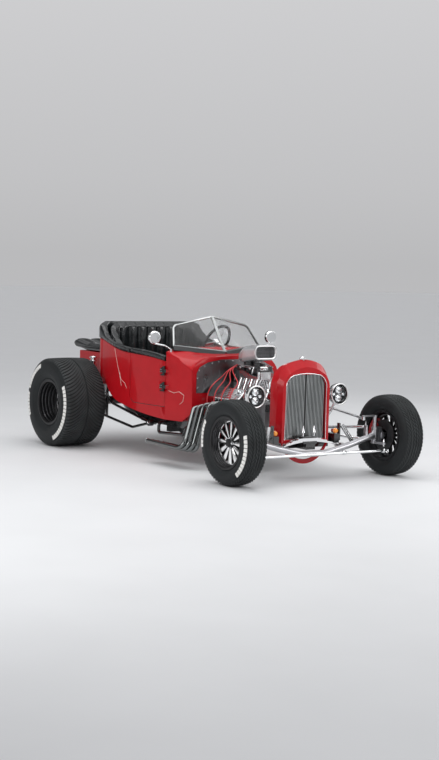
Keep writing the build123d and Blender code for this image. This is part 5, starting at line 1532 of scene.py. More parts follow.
@dataclass(frozen=True)
class Grille:
    """The painted grille shell with its bars, chrome trim, cap and radiator core."""

    front_x: float = 1.314
    half: float = 0.203
    low: float = 0.310
    high: float = 0.831
    corner_z: float = 0.700
    trim_grow: float = 0.004
    fin: float = 0.0012
    fin_count: int = 54

    CAP = mm(0, 0, 20, 0, 20, 10, 24, 11, 26, 14, 26, 20, 22, 26, 10, 31, 6, 36, 0, 37)
    BOX_FACES = ((0, 1, 3, 2), (4, 6, 7, 5), (0, 4, 5, 1), (2, 3, 7, 6), (0, 2, 6, 4), (1, 5, 7, 3))

    def build(self) -> None:
        """Builds the shell and what it holds."""
        reskin("grille_shell", PALETTE.red, "red_paint", 26)
        self.bars()
        self.trim()
        self.cap()
        self.core()

    def outline(self) -> list[tuple[float, float]]:
        """The bead's line round the opening, as Y and Z.

        Returns:
            The points.
        """
        w, top, low = self.half + self.trim_grow, self.high + self.trim_grow, self.low - self.trim_grow
        right = [(w, low), (w - 0.006, self.corner_z)]
        right += arc_points(right[-1], (w - 0.034, top - 0.038), (w - 0.100, top - 0.010), 8)[1:]
        over = arc_points((w - 0.100, top - 0.010), (0, top), (0.100 - w, top - 0.010), 8)[1:]
        return right + over + [(-y, z) for y, z in reversed(right)][1:]

    def bars(self) -> None:
        """The upright bars, the middle one wider and darker."""
        insert = copy_node("grille_insert", PALETTE.grille, 30)
        paint_faces(insert, PALETTE.soft_black, lambda f: abs(f.center.y) < 0.0065)
        place(insert, "chassis", "dark_grille", "grille_insert")

    def trim(self) -> None:
        """A slim chrome bead round the opening."""
        points = [(self.front_x, y, z) for y, z in self.outline()]
        place(bar(points, 0.0035, PALETTE.chrome, name="opening_trim"), "chassis", "chrome")

    def cap(self) -> None:
        """A chrome filler cap on a short neck at the crest of the shell."""
        spot = (1.245, 0.0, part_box("grille_shell")[1].z - 0.012)
        cap = turned(self.CAP, spot, (0.05, 0, 1), PALETTE.chrome, 32, 32, "filler_cap")
        place(cap, "chassis", "chrome")

    def core(self) -> None:
        """The radiator's tanks and its finned core."""
        reskin("radiator", PALETTE.core, "dark_grille", 30, 0.004)
        low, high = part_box("radiator")
        sides, ends, faces = (low.y + 0.02, high.y - 0.02), (low.x - 0.002, low.x + 0.006), (0, self.fin)
        fin = mesh_of([(x, y, z) for y in sides for x in ends for z in faces], self.BOX_FACES)
        start, end = (0, 0, low.z + 0.06), (0, 0, high.z - 0.062)
        place(row("core_fins", fin, self.fin_count, start, end, PALETTE.grille), "chassis", "dark_grille")


@dataclass(frozen=True)
class Lamps:
    """Chrome headlamps with multi-part reflectors behind clear lenses, and the amber signals."""

    x: float = 1.219
    y: float = 0.421
    z: float = 0.651
    signal_y: float = 0.305

    BOWL = mm(0, 0, 30, 1, 60, 10, 74, 24, 78.5, 36, 78.5, 30, 76, 18, 60, 4, 0, -1)
    EYE = mm(0, 4, 26, 4, 28, 14, 28, 22, 25, 24, 23.5, 20, 20, 16, 12, 21, 0, 23)
    # Place across, height and scale of the four lights in a lamp.
    EYES = ((0.0, 0.034, 1.12), (0.0, -0.034, 1.12), (0.046, 0.0, 0.5), (-0.046, 0.0, 0.5))
    LENS = mm(0, 7.4, 30, 6.8, 55, 5, 72, 2.4, 78.4, 0, 78.4, -3, 55, 2.2, 30, 4.2, 0, 4.8)
    SHELL = mm(0, 0, 12, 2, 19.5, 12, 21.5, 30, 21.5, 40, 19, 42, 0, 42)
    RIBS = tuple((0.0208 - 0.0012 * (k % 2) - 0.0006 * k, 0.042 + 0.0025 * k) for k in range(7))

    def build(self) -> None:
        """Builds both headlamps and the signals."""
        reskin("headlamps", PALETTE.chrome, "chrome", 32)
        self.inside()
        self.lenses()
        self.signals()

    def inside(self) -> None:
        """The reflector's bowl in dark steel as painted shade, with two large and two small round lights, and
        the rounded bezel.
        """
        waves = [tau * k / 12 for k in range(12)]
        bezel = [(0.0785 + 0.0057 * (1 - cos(a)), 0.002 + 0.0060 * sin(a)) for a in waves]
        parts = []
        for side in Side:
            x, y, z = side.at(self.x - 0.040, self.y, self.z)
            # The bowl's dark colour is painted shade: it stands in for the dark reflections between the
            # bright spots of a chrome reflector.
            parts.append(turned(self.BOWL, (x, y, z), AHEAD, PALETTE.dark_steel))
            for across, rise, scale in self.EYES:
                eye = [(r * scale, h) for r, h in self.EYE]
                parts.append(turned(eye, (x - 0.001, y + across, z + rise), AHEAD, PALETTE.chrome, 28))
            parts.append(turned(bezel + bezel[:1], (self.x - 0.0045, y, z), AHEAD, PALETTE.bezel, 56, 40))
        fitted("lamp_reflectors", parts, "chrome")

    def lenses(self) -> None:
        """Slightly domed clear lenses."""
        spots = [side.at(self.x - 0.008, self.y, self.z) for side in Side]
        parts = [turned(self.LENS, spot, AHEAD, PALETTE.lens, 48, 40) for spot in spots]
        fitted("lamp_lenses", parts, "lamp_glass", "headlamp_lenses")

    def signals(self) -> None:
        """Amber signals with ribbed lenses in small chrome bodies."""
        low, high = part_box("turn_signals")
        parts = []
        for side in Side:
            spot = side.at(low.x, self.signal_y, (low.z + high.z) / 2)
            parts.append(turned(self.SHELL, spot, AHEAD, PALETTE.chrome, 28))
            lens = ((0.0205, 0.040), *self.RIBS, (0.012, 0.0595), (0, 0.061))
            parts.append(turned(lens, spot, AHEAD, PALETTE.amber, 28))
        fitted("signal_pair", parts, "amber_lens", "turn_signals")


@dataclass(frozen=True)
class Engine:
    """The bare eight-cylinder engine: block, covers, intake, carburettors, scoop, wires, fan and hose."""

    crank_z: float = 0.340
    deck: float = 0.230
    head_top: float = 0.330
    carb_x: tuple[float, float] = (0.670, 0.535)
    plenum_top: float = 0.800
    distributor_x: float = 0.401
    cap_radius: float = 0.0535
    runner_y: float = 0.104
    link_y: float = 0.104
    wire_radius: float = 0.0012
    lead_radius: float = 0.0041
    belt_x: float = 0.952
    pump_z: float = 0.530

    # X of each plug, and X where its lead drops.
    PLUGS = ((0.830, 0.785), (0.720, 0.671), (0.610, 0.569), (0.500, 0.469))
    # The scoop's mouth: X, half its width, low and high Z, corner radius, and radius of its rolled lip.
    MOUTH = (0.756, 0.113, 0.903, 1.025, 0.046, 0.0085)
    HOSE_BANDS = ((1.205, 0.800), (1.10, 0.800), (0.995, 0.797))
    FUEL_LINE = ((0.74, -0.125, 0.79), (0.745, -0.118, 0.835), (0.735, -0.100, 0.845), (0.70, -0.098, 0.845),
                 (0.60, -0.099, 0.846), (0.50, -0.097, 0.846), (0.466, -0.08, 0.842), (0.468, -0.02, 0.84))
    BREATHER = mm(0, 0, 14, 0, 14, 14, 26, 16, 27, 20, 27, 40, 24, 44, 0, 45)
    LEVER = mm(0, 0, 12, 0, 12, 4, 5, 5, 5, 12, 0, 13)
    WING_NUT = mm(0, 0, 10, 0, 10, 3, 6, 5, 9, 12, 6, 17, 0, 18)
    BOOT = mm(0, 0, 7.8, 0, 7.8, 16, 6.6, 18, 7.8, 20, 6.6, 22, 7.8, 24, 6, 40, 0, 40.5)
    TOWER = mm(0, 0, 8.5, 0, 7.5, 12, 5.8, 20, 0, 20.5)
    DAMPER = mm(0, 0, 76, 0, 77.5, 6, 66, 11, 77.5, 16, 77.5, 20, 66, 25, 77.5, 30, 76, 36, 30, 36, 28, 45,
                0, 46)
    BAND = mm(20.5, 0, 22.5, 1, 22.5, 11, 20.5, 12)
    FREEZE_PLUG = mm(0, 0, 18, 0, 20, 2, 22, 4, 23, -1, 0, -1)
    OIL_FILTER = mm(0, 0, 40, 0, 44, 4, 44, 85, 40, 92, 30, 94, 0, 94)
    ALTERNATOR = mm(0, 0, 30, 0, 52, 6, 58, 18, 58, 62, 52, 76, 34, 82, 34, 92, 31, 94, 34, 98, 34, 102,
                    10, 104, 0, 112)

    def build(self) -> None:
        """Builds the engine and everything on it."""
        reskin("engine_block", PALETTE.cast, "engine_paint", 24, 0.003)
        reskin("gearbox", PALETTE.cast, "cast_alloy", 28)
        self.covers()
        self.intake()
        self.carburettors()
        self.scoop()
        self.wires()
        self.front()
        self.hose()
        self.small_parts()

    def bank(self, x: float, out: float, across: float, side: Side = Side.LEFT) -> tuple[float, float, float]:
        """A place on a bank: out along the cylinders, across the deck towards the outside."""
        return side.at(x, (out + across) * DIAGONAL, self.crank_z + (out - across) * DIAGONAL)

    def covers(self) -> None:
        """Chrome valve covers with fins along the top, hold-down bolts and breathers."""
        parts = [copy_node("valve_covers", PALETTE.chrome, 26)]
        for side in Side:
            along = side.at(0, 1, 1)
            turn = Matrix.Rotation(-side.value * pi / 4, 4, "X")
            for k in range(5):
                fin = rounded_block((0.400, 0.0045, 0.008), 0.0018)
                spot = self.bank(0.609, self.head_top + 0.0735, (k - 2) * 0.018, side)
                fin.transform(Matrix.Translation(spot) @ turn)
                parts.append(dressed("fin", fin, PALETTE.polished))
            for k in range(4):
                for across in (-0.066, 0.066):
                    spot = self.bank(0.42 + 0.126 * k, self.head_top + 0.008, across, side)
                    parts.append(bolt(0.006, 0.008, spot, along))
            spot = self.bank(0.79, self.head_top + 0.072, 0.0, side)
            parts.append(turned(self.BREATHER, spot, along, PALETTE.chrome, 28))
        fitted("rocker_covers", parts, "chrome", "valve_covers")

    def intake(self) -> None:
        """The tall polished intake with bolts at its runners and the black distributor cap."""
        body = copy_node("intake_manifold", PALETTE.polished, 30)

        def on_cap(face: Face) -> bool:
            """Whether a face is on the distributor's cap."""
            x, y, z = face.center
            return z > 0.689 and hypot(x - self.distributor_x, y) < self.cap_radius

        parts = [paint_faces(body, PALETTE.boot, on_cap)]
        for side in Side:
            for k in range(6):
                spot = side.at(0.445 + 0.062 * k, self.runner_y, 0.6235)
                parts.append(bolt(0.006, 0.007, spot, side.at(0, 0.55, 0.83)))
            for k in range(5):
                spot = side.at(0.475 + 0.064 * k, 0.059, self.plenum_top - 0.0005)
                parts.append(bolt(0.0045, 0.005, spot, UP))
        for side in Side:
            centre = side.at(self.distributor_x, self.cap_radius, 0.735)
            parts.append(block((0.010, 0.004, 0.050), 0.0015, centre, PALETTE.chrome))
        fitted("tall_intake", parts, "polished_alloy", "intake_manifold")

    def carburettors(self) -> None:
        """Two black carburettors with float bowls, jets, screws, springs and a shared linkage."""
        parts = [copy_node("carburettors", PALETTE.black_paint, 28, 0.002)]
        for x in self.carb_x:
            for end in (-1, 1):
                centre = (x + end * 0.0585, 0.0, 0.829)
                parts.append(block((0.022, 0.082, 0.034), 0.005, centre, PALETTE.polished))
                for y in (-0.03, 0.0, 0.03):
                    parts.append(bolt(0.0035, 0.0045, (x + end * 0.0695, y, 0.829), (end, 0, 0)))
            for side in Side:
                spot, y = side.at(x, 0.0945, 0.828), side.value * 0.100
                parts.append(turned(self.LEVER, spot, side.at(0, 1, 0), PALETTE.chrome, 18))
                spring = [
                    (x + 0.010 + 0.0011 * k, y + 0.003 * cos(1.5 * k), 0.838 + 0.003 * sin(1.5 * k))
                    for k in range(44)
                ]
                parts.append(bar(spring, 0.0007, PALETTE.brushed, 6))
        for side in Side:
            ends = [side.at(x, self.link_y, 0.835) for x in (self.carb_x[0] + 0.004, self.carb_x[1] - 0.004)]
            parts.append(straight(*ends, 0.003, PALETTE.chrome))
        parts.append(bar(self.FUEL_LINE, 0.0045, PALETTE.chrome))
        fitted("twin_carburettors", parts, "black_frame", "carburettors")

    def scoop(self) -> None:
        """The chrome air scoop, its pale colour a painted reflection: rolled mouth, mesh inside it with a
        dark plate behind as painted shade, and a centre nut.
        """
        x, half, low, high, corner, thick = self.MOUTH
        y, top, foot = half - corner, high - corner, low + corner
        points = []
        for cy, cz, start in ((y, top, 0), (-y, top, 90), (-y, foot, 180), (y, foot, 270)):
            for t in range(7):
                a = radians(start + 15 * t)
                points.append((x - thick, cy + (corner - thick) * cos(a), cz + (corner - thick) * sin(a)))
        # The scoop's pale colour is a painted reflection, in place of chrome.
        parts = [copy_node("air_scoop", PALETTE.pale_painted_reflection, 34), bar(points, thick, PALETTE.bezel, 16, True)]
        mesh_x = x - 0.038
        for k in range(19):
            y = -0.099 + 0.011 * k
            reach = 0.052 if abs(y) < 0.075 else 0.030
            ends = [(mesh_x, y, 0.964 - reach), (mesh_x, y, 0.964 + reach)]
            parts.append(straight(*ends, self.wire_radius, PALETTE.brushed, 5))
        for k in range(10):
            z = 0.916 + 0.0107 * k
            reach = 0.105 if 0.935 < z < 0.995 else 0.088
            ends = [(mesh_x + 0.001, -reach, z), (mesh_x + 0.001, reach, z)]
            parts.append(straight(*ends, self.wire_radius, PALETTE.brushed, 5))
        # A dark plate behind the mesh: painted shade, standing in for the dark inside of the scoop.
        parts.append(block((0.004, 0.196, 0.100), 0.0015, (mesh_x - 0.035, 0, 0.960), PALETTE.dark_steel))
        parts.append(turned(self.WING_NUT, (0.60, 0, 1.006), (0.06, 0, 1), PALETTE.chrome, 20))
        fitted("chrome_scoop", parts, "chrome", "air_scoop")

    def wires(self) -> None:
        """Red plug leads on smooth curves from the cap's towers to black boots at the plugs."""
        _, plug_y, plug_z = self.bank(0.0, self.deck + 0.082, 0.092)
        end_y, end_z = plug_y + 0.040 * DIAGONAL, plug_z - 0.040 * DIAGONAL
        parts = []
        for side in Side:
            for order, (plug_x, drop_x) in enumerate(self.PLUGS):
                cap_x = self.distributor_x + 0.030 - 0.020 * order
                spread = 0.009 * order
                points = (
                    (cap_x, 0.030, 0.812), (cap_x + 0.001, 0.038, 0.842 - spread),
                    (cap_x + 0.010, 0.078, 0.838 - spread), (cap_x + 0.042 - spread, 0.138, 0.800 - spread),
                    ((cap_x + drop_x) / 2, 0.205, 0.762 - spread),
                    (drop_x, 0.285, 0.714), (drop_x, 0.360, 0.648), (drop_x, 0.382, 0.560),
                    ((drop_x + plug_x) / 2, 0.376, 0.498), (plug_x, end_y + 0.004, end_z - 0.004),
                    (plug_x, end_y - 0.004, end_z + 0.004),
                )
                parts.append(bar([side.at(*point) for point in points], self.lead_radius, PALETTE.lead))
                spot = side.at(plug_x, plug_y + 0.0003, plug_z - 0.0003)
                parts.append(turned(self.BOOT, spot, side.at(0, 1, -1), PALETTE.boot, 18))
                parts.append(turned(self.TOWER, side.at(cap_x, 0.030, self.plenum_top), UP, PALETTE.boot, 16))
        fitted("plug_leads", parts, "red_wire", "plug_wires")

    def front(self) -> None:
        """The fan with its pulleys, the grooved front pulley, a belt and the hub's bolts."""
        parts = [copy_node("fan_and_pulleys", PALETTE.polished, 30)]
        parts.append(turned(self.DAMPER, (0.934, 0.0, self.crank_z), AHEAD, PALETTE.chrome))

        def wrap(radius: float, z: float, steps: range, shift: float = 0.0) -> list[tuple[float, float]]:
            """The belt's run round a pulley as Y and Z, in steps of 15 degrees."""
            angles = [tau * k / 24 + shift for k in steps]
            return [(radius * cos(a), z + radius * sin(a)) for a in angles]

        belt = wrap(0.069, self.pump_z, range(13), 0.01) + [(-0.0735, 0.44), (-0.074, 0.36)]
        belt += wrap(0.0745, self.crank_z, range(12, 25)) + [(0.074, 0.36), (0.0735, 0.44)]
        parts.append(bar([(self.belt_x, y, z) for y, z in belt], 0.0055, PALETTE.soft_black, 8, True))
        for a in (tau * k / 4 + 0.4 for k in range(4)):
            parts.append(bolt(0.006, 0.007, (1.0015, 0.022 * cos(a), self.pump_z + 0.022 * sin(a)), AHEAD))
        fitted("fan_drive", parts, "polished_alloy", "fan_and_pulleys")

    def hose(self) -> None:
        """The bright upper hose with clamps."""
        parts = [copy_node("radiator_hose", PALETTE.chrome, 32)]
        for x, z in self.HOSE_BANDS:
            parts.append(turned(self.BAND, (x - 0.006, 0, z), AHEAD, PALETTE.brushed, 32))
            parts.append(bolt(0.0035, 0.010, (x, -0.006, z + 0.0235), OUT))
        fitted("bright_hose", parts, "chrome", "radiator_hose")

    def small_parts(self) -> None:
        """Freeze plugs, head bolts, an oil filter and a bright alternator with its bracket."""
        parts = []
        for side in Side:
            for k in range(3):
                spot = side.at(0.45 + 0.15 * k, 0.1505, 0.305)
                parts.append(turned(self.FREEZE_PLUG, spot, side.at(0, 1, 0), PALETTE.brushed, 24))
            for k in range(5):
                spot = self.bank(0.39 + 0.112 * k, self.deck + 0.088, 0.086, side)
                parts.append(bolt(0.007, 0.009, spot, side.at(0, 1, 0.2), PALETTE.brushed))
        parts.append(turned(self.OIL_FILTER, (0.44, 0.14, 0.235), (0.0, 0.35, -1), PALETTE.black_paint, 32))
        parts.append(turned(self.ALTERNATOR, (0.862, -0.185, 0.640), AHEAD, PALETTE.chrome, 36))
        parts.append(straight((0.90, -0.07, 0.575), (0.90, -0.160, 0.625), 0.007, PALETTE.chrome))
        fitted("engine_fittings", parts, "engine_paint")


@dataclass(frozen=True)
class Exhaust:
    """Headers in chrome whose colour is darkened as painted shade, with flange bolts, and tips whose closed
    bores are painted dark as shade.
    """

    # Y, Z and X of each tube's open tip.
    TIPS = ((0.560, 0.160, 0.099), (0.600, 0.166, 0.083), (0.640, 0.174, 0.067), (0.680, 0.182, 0.043))
    TIP = mm(15, -2, 18.2, -2, 19, 0, 18.2, 2, 15, 1, 15, -30, 0, -30)
    flange_x: float = 0.418
    flange_lift: float = 0.0095
    bolt_step: float = 0.048
    bolt_spread: float = 0.019

    def build(self) -> None:
        """Builds the header tubes and their small parts."""
        # The headers take the chrome darkened as painted shade.
        reskin("headers", PALETTE.shaded_chrome, "chrome", 40)
        engine = Engine()
        parts = []
        _, y, z = engine.bank(0.0, engine.deck + 0.038, 0.092)
        y, z = y + self.flange_lift * DIAGONAL, z - self.flange_lift * DIAGONAL
        for side in Side:
            for k in range(1, 9, 2):
                for lift in (-self.bolt_spread * DIAGONAL, self.bolt_spread * DIAGONAL):
                    spot = side.at(self.flange_x + self.bolt_step * k, y + lift, z + lift)
                    parts.append(bolt(0.0055, 0.008, spot, side.at(0, 1, -1)))
            for tip_y, tip_z, tip_x in self.TIPS:
                tip = turned(self.TIP, side.at(tip_x, tip_y, tip_z), (-1, 0, 0.02), PALETTE.chrome, 28)

                def painted_shade_bore(face: Face, x: float = tip_x) -> bool:
                    """Whether a face closes the tube inside its tip; these faces are painted dark as the
                    shade inside an open pipe.
                    """
                    return face.center.x > x + 0.002 and abs(face.normal.x) > 0.7

                parts.append(paint_faces(tip, PALETTE.core, painted_shade_bore))
        fitted("header_fittings", parts, "chrome")


@dataclass(frozen=True)
class Chassis:
    """Frame, axles, springs, rods, shocks and steering, with bolts and boots."""

    COVER = mm(0, 16, 50, 13, 85, 2, 95, -6, 108, -10, 108, -20, 0, -20)
    DRUM_FIN = mm(0, 86, 0, 91.5, 3, 91.5, 3, 86)
    ROD_BOOT = mm(17.5, 0, 19, 2, 15, 6, 17.5, 10, 13, 14, 10, 18, 6.5, 19, 6.5, 0)
    PIVOTS = ((0.535, 0.382, 0.3075), (-0.385, 0.407, 0.275))
    cover_x: float = REAR_AXLE_X - 0.128
    cover_bolts: float = 0.1005

    def build(self) -> None:
        """Builds the running gear."""
        reskin("frame_rails", PALETTE.black_paint, "black_frame", 30, 0.003)
        reskin("front_axle", PALETTE.brushed, "chrome", 30)
        self.two_tone("leaf_spring", PALETTE.polished, self.in_clamp, 30, 0.001)
        self.two_tone("radius_rods", PALETTE.chrome, lambda f: f.center.x < -0.1, 32)
        self.two_tone("shock_absorbers", PALETTE.chrome, self.in_bracket, 34)
        self.rear_axle()
        reskin("tie_rod", PALETTE.chrome, "chrome", 30)
        reskin("drag_link", PALETTE.chrome, "chrome", 30)
        reskin("pitman_arm", PALETTE.brushed, "machined_steel", 30, 0.002)
        self.knuckles()
        self.fasteners()

    @staticmethod
    def two_tone(
        node: str, finish: Finish, black: Callable[[Face], bool], angle: float, bevel: float = 0.0
    ) -> None:
        """Replaces a node by its copy, with the faces that the test picks painted black."""
        copy = copy_node(node, finish, angle, bevel)
        place(paint_faces(copy, PALETTE.black_paint, black), "chassis", "chrome", node)

    @staticmethod
    def in_bracket(face: Face) -> bool:
        """Whether a face of the shock absorbers is on a front bracket."""
        return face.center.x > 0 and 0.30 < face.center.z < 0.35

    @staticmethod
    def in_clamp(face: Face) -> bool:
        """Whether a face of the leaf spring is on its middle clamp."""
        return abs(face.center.y) < 0.0685 and 0.2785 < face.center.z < 0.345 and face.normal.z > -0.5

    def rear_axle(self) -> None:
        """The live axle: black housing, finned brake drums, a bright cover with bolts."""
        parts = [copy_node("rear_axle", PALETTE.black_paint, 28)]
        parts.append(turned(self.COVER, (self.cover_x, 0.0, REAR_RADIUS), BACK, PALETTE.chrome, 48, 40))
        for a in (tau * k / 10 for k in range(10)):
            spot = (self.cover_x + 0.0095, self.cover_bolts * cos(a), REAR_RADIUS + self.cover_bolts * sin(a))
            parts.append(bolt(0.006, 0.007, spot, BACK))
        for side in Side:
            for k in range(4):
                fin = revolved(self.DRUM_FIN, 56)
                y = side.value * (0.5145 + 0.0105 * k) - 0.0015
                fin.transform(Matrix.Translation((REAR_AXLE_X, y, REAR_RADIUS)))
                parts.append(dressed("fin", fin, PALETTE.cast))
        fitted("live_axle", parts, "black_frame", "rear_axle")

    @staticmethod
    def on_caliper(face: Face) -> bool:
        """Whether a knuckle's face belongs to the caliper."""
        x, z = face.center.x - FRONT_AXLE_X, face.center.z - FRONT_RADIUS
        return x < -0.055 and hypot(x, z) > 0.085 and abs(face.center.y) > 0.66 and atan2(z, -x) > -0.05

    def knuckles(self) -> None:
        """Steel knuckles with red calipers."""
        for side in Side:
            node = f"knuckle_{side.name.lower()}"
            piece = copy_node(node, PALETTE.brushed, 28, 0.0015)
            place(paint_faces(piece, PALETTE.caliper, self.on_caliper), body_of(node), "machined_steel", node)

    def fasteners(self) -> None:
        """Bolts on the rods' pivots, and rubber boots on the tie rod's ends."""
        spots = [(side, side.at(*pivot)) for side in Side for pivot in self.PIVOTS]
        bolts = [bolt(0.011, 0.010, spot, side.at(0, 1, 0)) for side, spot in spots]
        fitted("pivot_bolts", bolts, "chrome")
        feet = [side.at(1.555, 0.620, 0.2355) for side in Side]
        boots = [turned(self.ROD_BOOT, foot, UP, PALETTE.soft_black, 24) for foot in feet]
        place(joined("tie_rod_boots", boots), "tie_rod", "black_vinyl")


@dataclass(frozen=True)
class Steering:
    """The steering wheel with a wrapped rim, and its column."""

    centre: tuple[float, float, float] = (-0.285, 0.220, 0.980)
    foot: tuple[float, float, float] = (0.235, 0.382, 0.720)
    rim_radius: float = 0.165
    grip: float = 0.0135
    hub_rise: float = 0.0155
    screw_ring: float = 0.0285
    HORN = mm(0, 0, 33, 0, 33, 4, 28, 10, 16, 13, 0, 14)

    def build(self) -> None:
        """Builds the wheel and the column."""
        reskin("steering_column", PALETTE.chrome, "chrome", 32, 0.001)
        wheel = copy_node("steering_wheel", PALETTE.chrome, 34)
        centre = Vector(self.centre)
        axis = (Vector(self.foot) - centre).normalized()

        def rim(face: Face) -> bool:
            """Whether a face is on the wrapped rim.

            Args:
                face: A face of the steering wheel.

            Returns:
                True for the rim.
            """
            offset = face.center - centre
            across = offset - axis * offset.dot(axis)
            return across.length > self.rim_radius - self.grip * 1.03

        hub, sideways = centre - axis * self.hub_rise, axis.orthogonal().normalized()
        parts = [paint_faces(wheel, PALETTE.vinyl, rim), turned(self.HORN, hub, -axis, PALETTE.polished, 36)]
        for k in range(6):
            spoke = Matrix.Rotation(tau * k / 6, 3, axis) @ sideways
            parts.append(bolt(0.004, 0.004, hub + spoke * self.screw_ring, -axis))
        place(joined("hand_wheel", parts), "steering_hand_wheel", "black_vinyl", "steering_wheel")


@dataclass(frozen=True)
class Mirrors:
    """Round chrome mirrors with reflective faces."""

    rear_x: float = -0.0165
    y: float = 0.608
    z: float = 1.044
    FACE = mm(0, 1, 50, 1, 51.5, 0, 52.5, 2, 55, 2.5, 56.5, 0)

    def build(self) -> None:
        """Builds both mirrors."""
        parts = [copy_node("mirrors", PALETTE.chrome, 34)]
        spots = [side.at(self.rear_x, self.y, self.z) for side in Side]
        parts += [turned(self.FACE, spot, BACK, PALETTE.chrome) for spot in spots]
        fitted("round_mirrors", parts, "chrome", "mirrors")


@dataclass(frozen=True)
class Glazing:
    """The split windscreen: bright frame, dark foot seal and two panes."""

    foot_z: float = 0.926
    corner_y: float = 0.452
    corner_z: float = 0.972

    def build(self) -> None:
        """Builds the frame and the glass."""
        rim = copy_node("windshield_frame", PALETTE.bright_edge, 30)

        def seal(face: Face) -> bool:
            """Whether a face is on the roll below the frame.

            Args:
                face: A face of the windscreen's frame.

            Returns:
                True for the roll.
            """
            away = abs(face.center.y)
            line = self.foot_z + (self.corner_z - self.foot_z) * min(1.0, away / self.corner_y)
            return face.center.z < line - 0.001 and away > 0.013

        place(paint_faces(rim, PALETTE.soft_black, seal), "chassis", "chrome", "windshield_frame")
        reskin("windshield_glass", PALETTE.glass, "screen_glass", 30)


@dataclass(frozen=True)
class PadSize:
    """How one soft piece is filled and eased: voxel, shrink and cap in metres, and rounds of smoothing."""

    node: str
    voxel: float
    shrink: float
    cap: float
    pressure: float
    smoothing: int
    easing: int
    fill: float


class Upholstery:
    """Soft pieces in black vinyl, filled by cloth simulation and then given seams and channels."""

    PADS = (
        PadSize("seat_back", 0.0078, 0.005, 0.012, 4.0, 4, 14, 0.8),
        PadSize("seat_cushion", 0.0085, 0.008, 0.022, 4.0, 6, 8, 0.8),
        PadSize("side_pads", 0.0065, 0.004, 0.008, 3.0, 5, 6, 0.9),
        PadSize("door_pad", 0.0055, 0.004, 0.008, 3.0, 5, 6, 0.9),
        PadSize("bed_roll", 0.0095, 0.006, 0.012, 4.0, 8, 3, 0.7),
    )
    # Pitch of the rolls, depth and half width of their seams, and depth of their edges.
    BACK_ROLLS = (0.102, 0.012, 0.014, 0.016)
    CUSHION_ROLLS = (0.100, 0.009, 0.014, 0.008)
    COVER_ROLLS = (0.168, 0.008, 0.018, 0.009)
    corner_x = -0.90
    corner_y = 0.36
    corner_radius = 0.11
    cushion_edge = 0.615
    tip_length = 0.26
    tip_rise = 0.030
    tip_drop = 0.034
    gather_pitch = 0.235
    fill_frames = 20
    view_slope = Vector((0.57, -0.82))

    def build(self) -> None:
        """Builds every soft piece."""
        for size in self.PADS:
            self.one(size)

    def one(self, size: PadSize) -> None:
        """Fills one soft piece, carves it and seats it.

        Args:
            size: How the piece is made.
        """
        pad = self.remeshed(size)
        self.filled(pad, size)
        pad = self.eased(pad, size.easing)
        carve = {
            "seat_back": self.back_channels, "seat_cushion": self.cushion_channels,
            "bed_roll": self.cover_channels, "side_pads": self.rim_seams, "door_pad": self.rim_seams,
        }[size.node]
        carve(pad)
        pad.data.materials.clear()
        pad.data.materials.append(PALETTE.vinyl.material())
        smooth(pad, 70)
        pad.name = f"{size.node}_soft"
        place(pad, body_of(size.node), "black_vinyl", size.node)

    def remeshed(self, size: PadSize) -> Thing:
        """An even, rounded and slightly smaller copy of the node to fill.

        Args:
            size: How the piece is made.

        Returns:
            The copy.
        """
        pad = link(f"{size.node}_form", reworked(frame["nodes"][size.node].data.copy(), CAD_GAP))
        voxels = pad.modifiers.new("voxels", "REMESH")
        voxels.mode = "VOXEL"
        voxels.voxel_size = size.voxel
        pad = self.eased(evaluated(pad), size.smoothing)
        self.carved(pad, lambda p, n: np.full(len(p), size.shrink))
        return pad

    @staticmethod
    def eased(pad: Thing, rounds: int) -> Thing:
        """Smooths the small folds out of a piece.

        Args:
            pad: The piece.
            rounds: How often it is smoothed.

        Returns:
            The same piece.
        """
        even = pad.modifiers.new("even", "SMOOTH")
        even.factor = 0.6
        even.iterations = rounds
        return evaluated(pad)

    @staticmethod
    def read(mesh: Mesh, what: str) -> np.ndarray:
        """The places or the normals of a mesh's corners, a row for each.

        Args:
            mesh: The mesh.
            what: "co" for places or "normal" for normals.

        Returns:
            The rows.
        """
        values = np.empty(len(mesh.vertices) * 3)
        mesh.vertices.foreach_get(what, values)
        return values.reshape(-1, 3)

    @staticmethod
    def write(mesh: Mesh, places: np.ndarray) -> None:
        """Moves a mesh's corners to the places."""
        mesh.vertices.foreach_set("co", places.reshape(-1))
        mesh.update()

    def filled(self, pad: Thing, size: PadSize) -> None:
        """Runs the cloth under pressure and keeps each corner's move under the cap.

        Args:
            pad: The piece.
            size: How the piece is made.
        """
        before = self.read(pad.data, "co")
        cloth = pad.modifiers.new("fill", "CLOTH")
        cloth.settings.quality = 4
        cloth.settings.mass = 0.3
        cloth.settings.tension_stiffness = 12
        cloth.settings.compression_stiffness = 12
        cloth.settings.bending_stiffness = 0.8
        cloth.settings.use_pressure = True
        cloth.settings.uniform_pressure_force = size.pressure
        cloth.settings.effector_weights.gravity = 0
        cloth.collision_settings.use_collision = False
        cloth.collision_settings.use_self_collision = False
        cloth.point_cache.frame_start = 1
        cloth.point_cache.frame_end = self.fill_frames
        scene = bpy.context.scene
        for step in range(1, self.fill_frames + 1):
            scene.frame_set(step)
        graph = bpy.context.evaluated_depsgraph_get()
        move = self.read(pad.evaluated_get(graph).data, "co") - before
        pad.modifiers.clear()
        scene.frame_set(1)
        length = np.linalg.norm(move, axis=1, keepdims=True)
        self.write(pad.data, before + move * np.minimum(1.0, size.cap / np.maximum(length, 1e-9)))

    def carved(self, pad: Thing, depth_at: Callable[[np.ndarray, np.ndarray], np.ndarray]) -> None:
        """Pulls corners in along their normals by the depths that the rule gives, in metres."""
        places, normals = self.read(pad.data, "co"), self.read(pad.data, "normal")
        self.write(pad.data, places - normals * depth_at(places, normals)[:, None])

    @staticmethod
    def groove(distance: np.ndarray, width: float) -> np.ndarray:
        """A rounded valley of depth 1 at distance 0, flat past the width."""
        return np.clip(1 - np.abs(distance) / width, 0, 1) ** 1.6

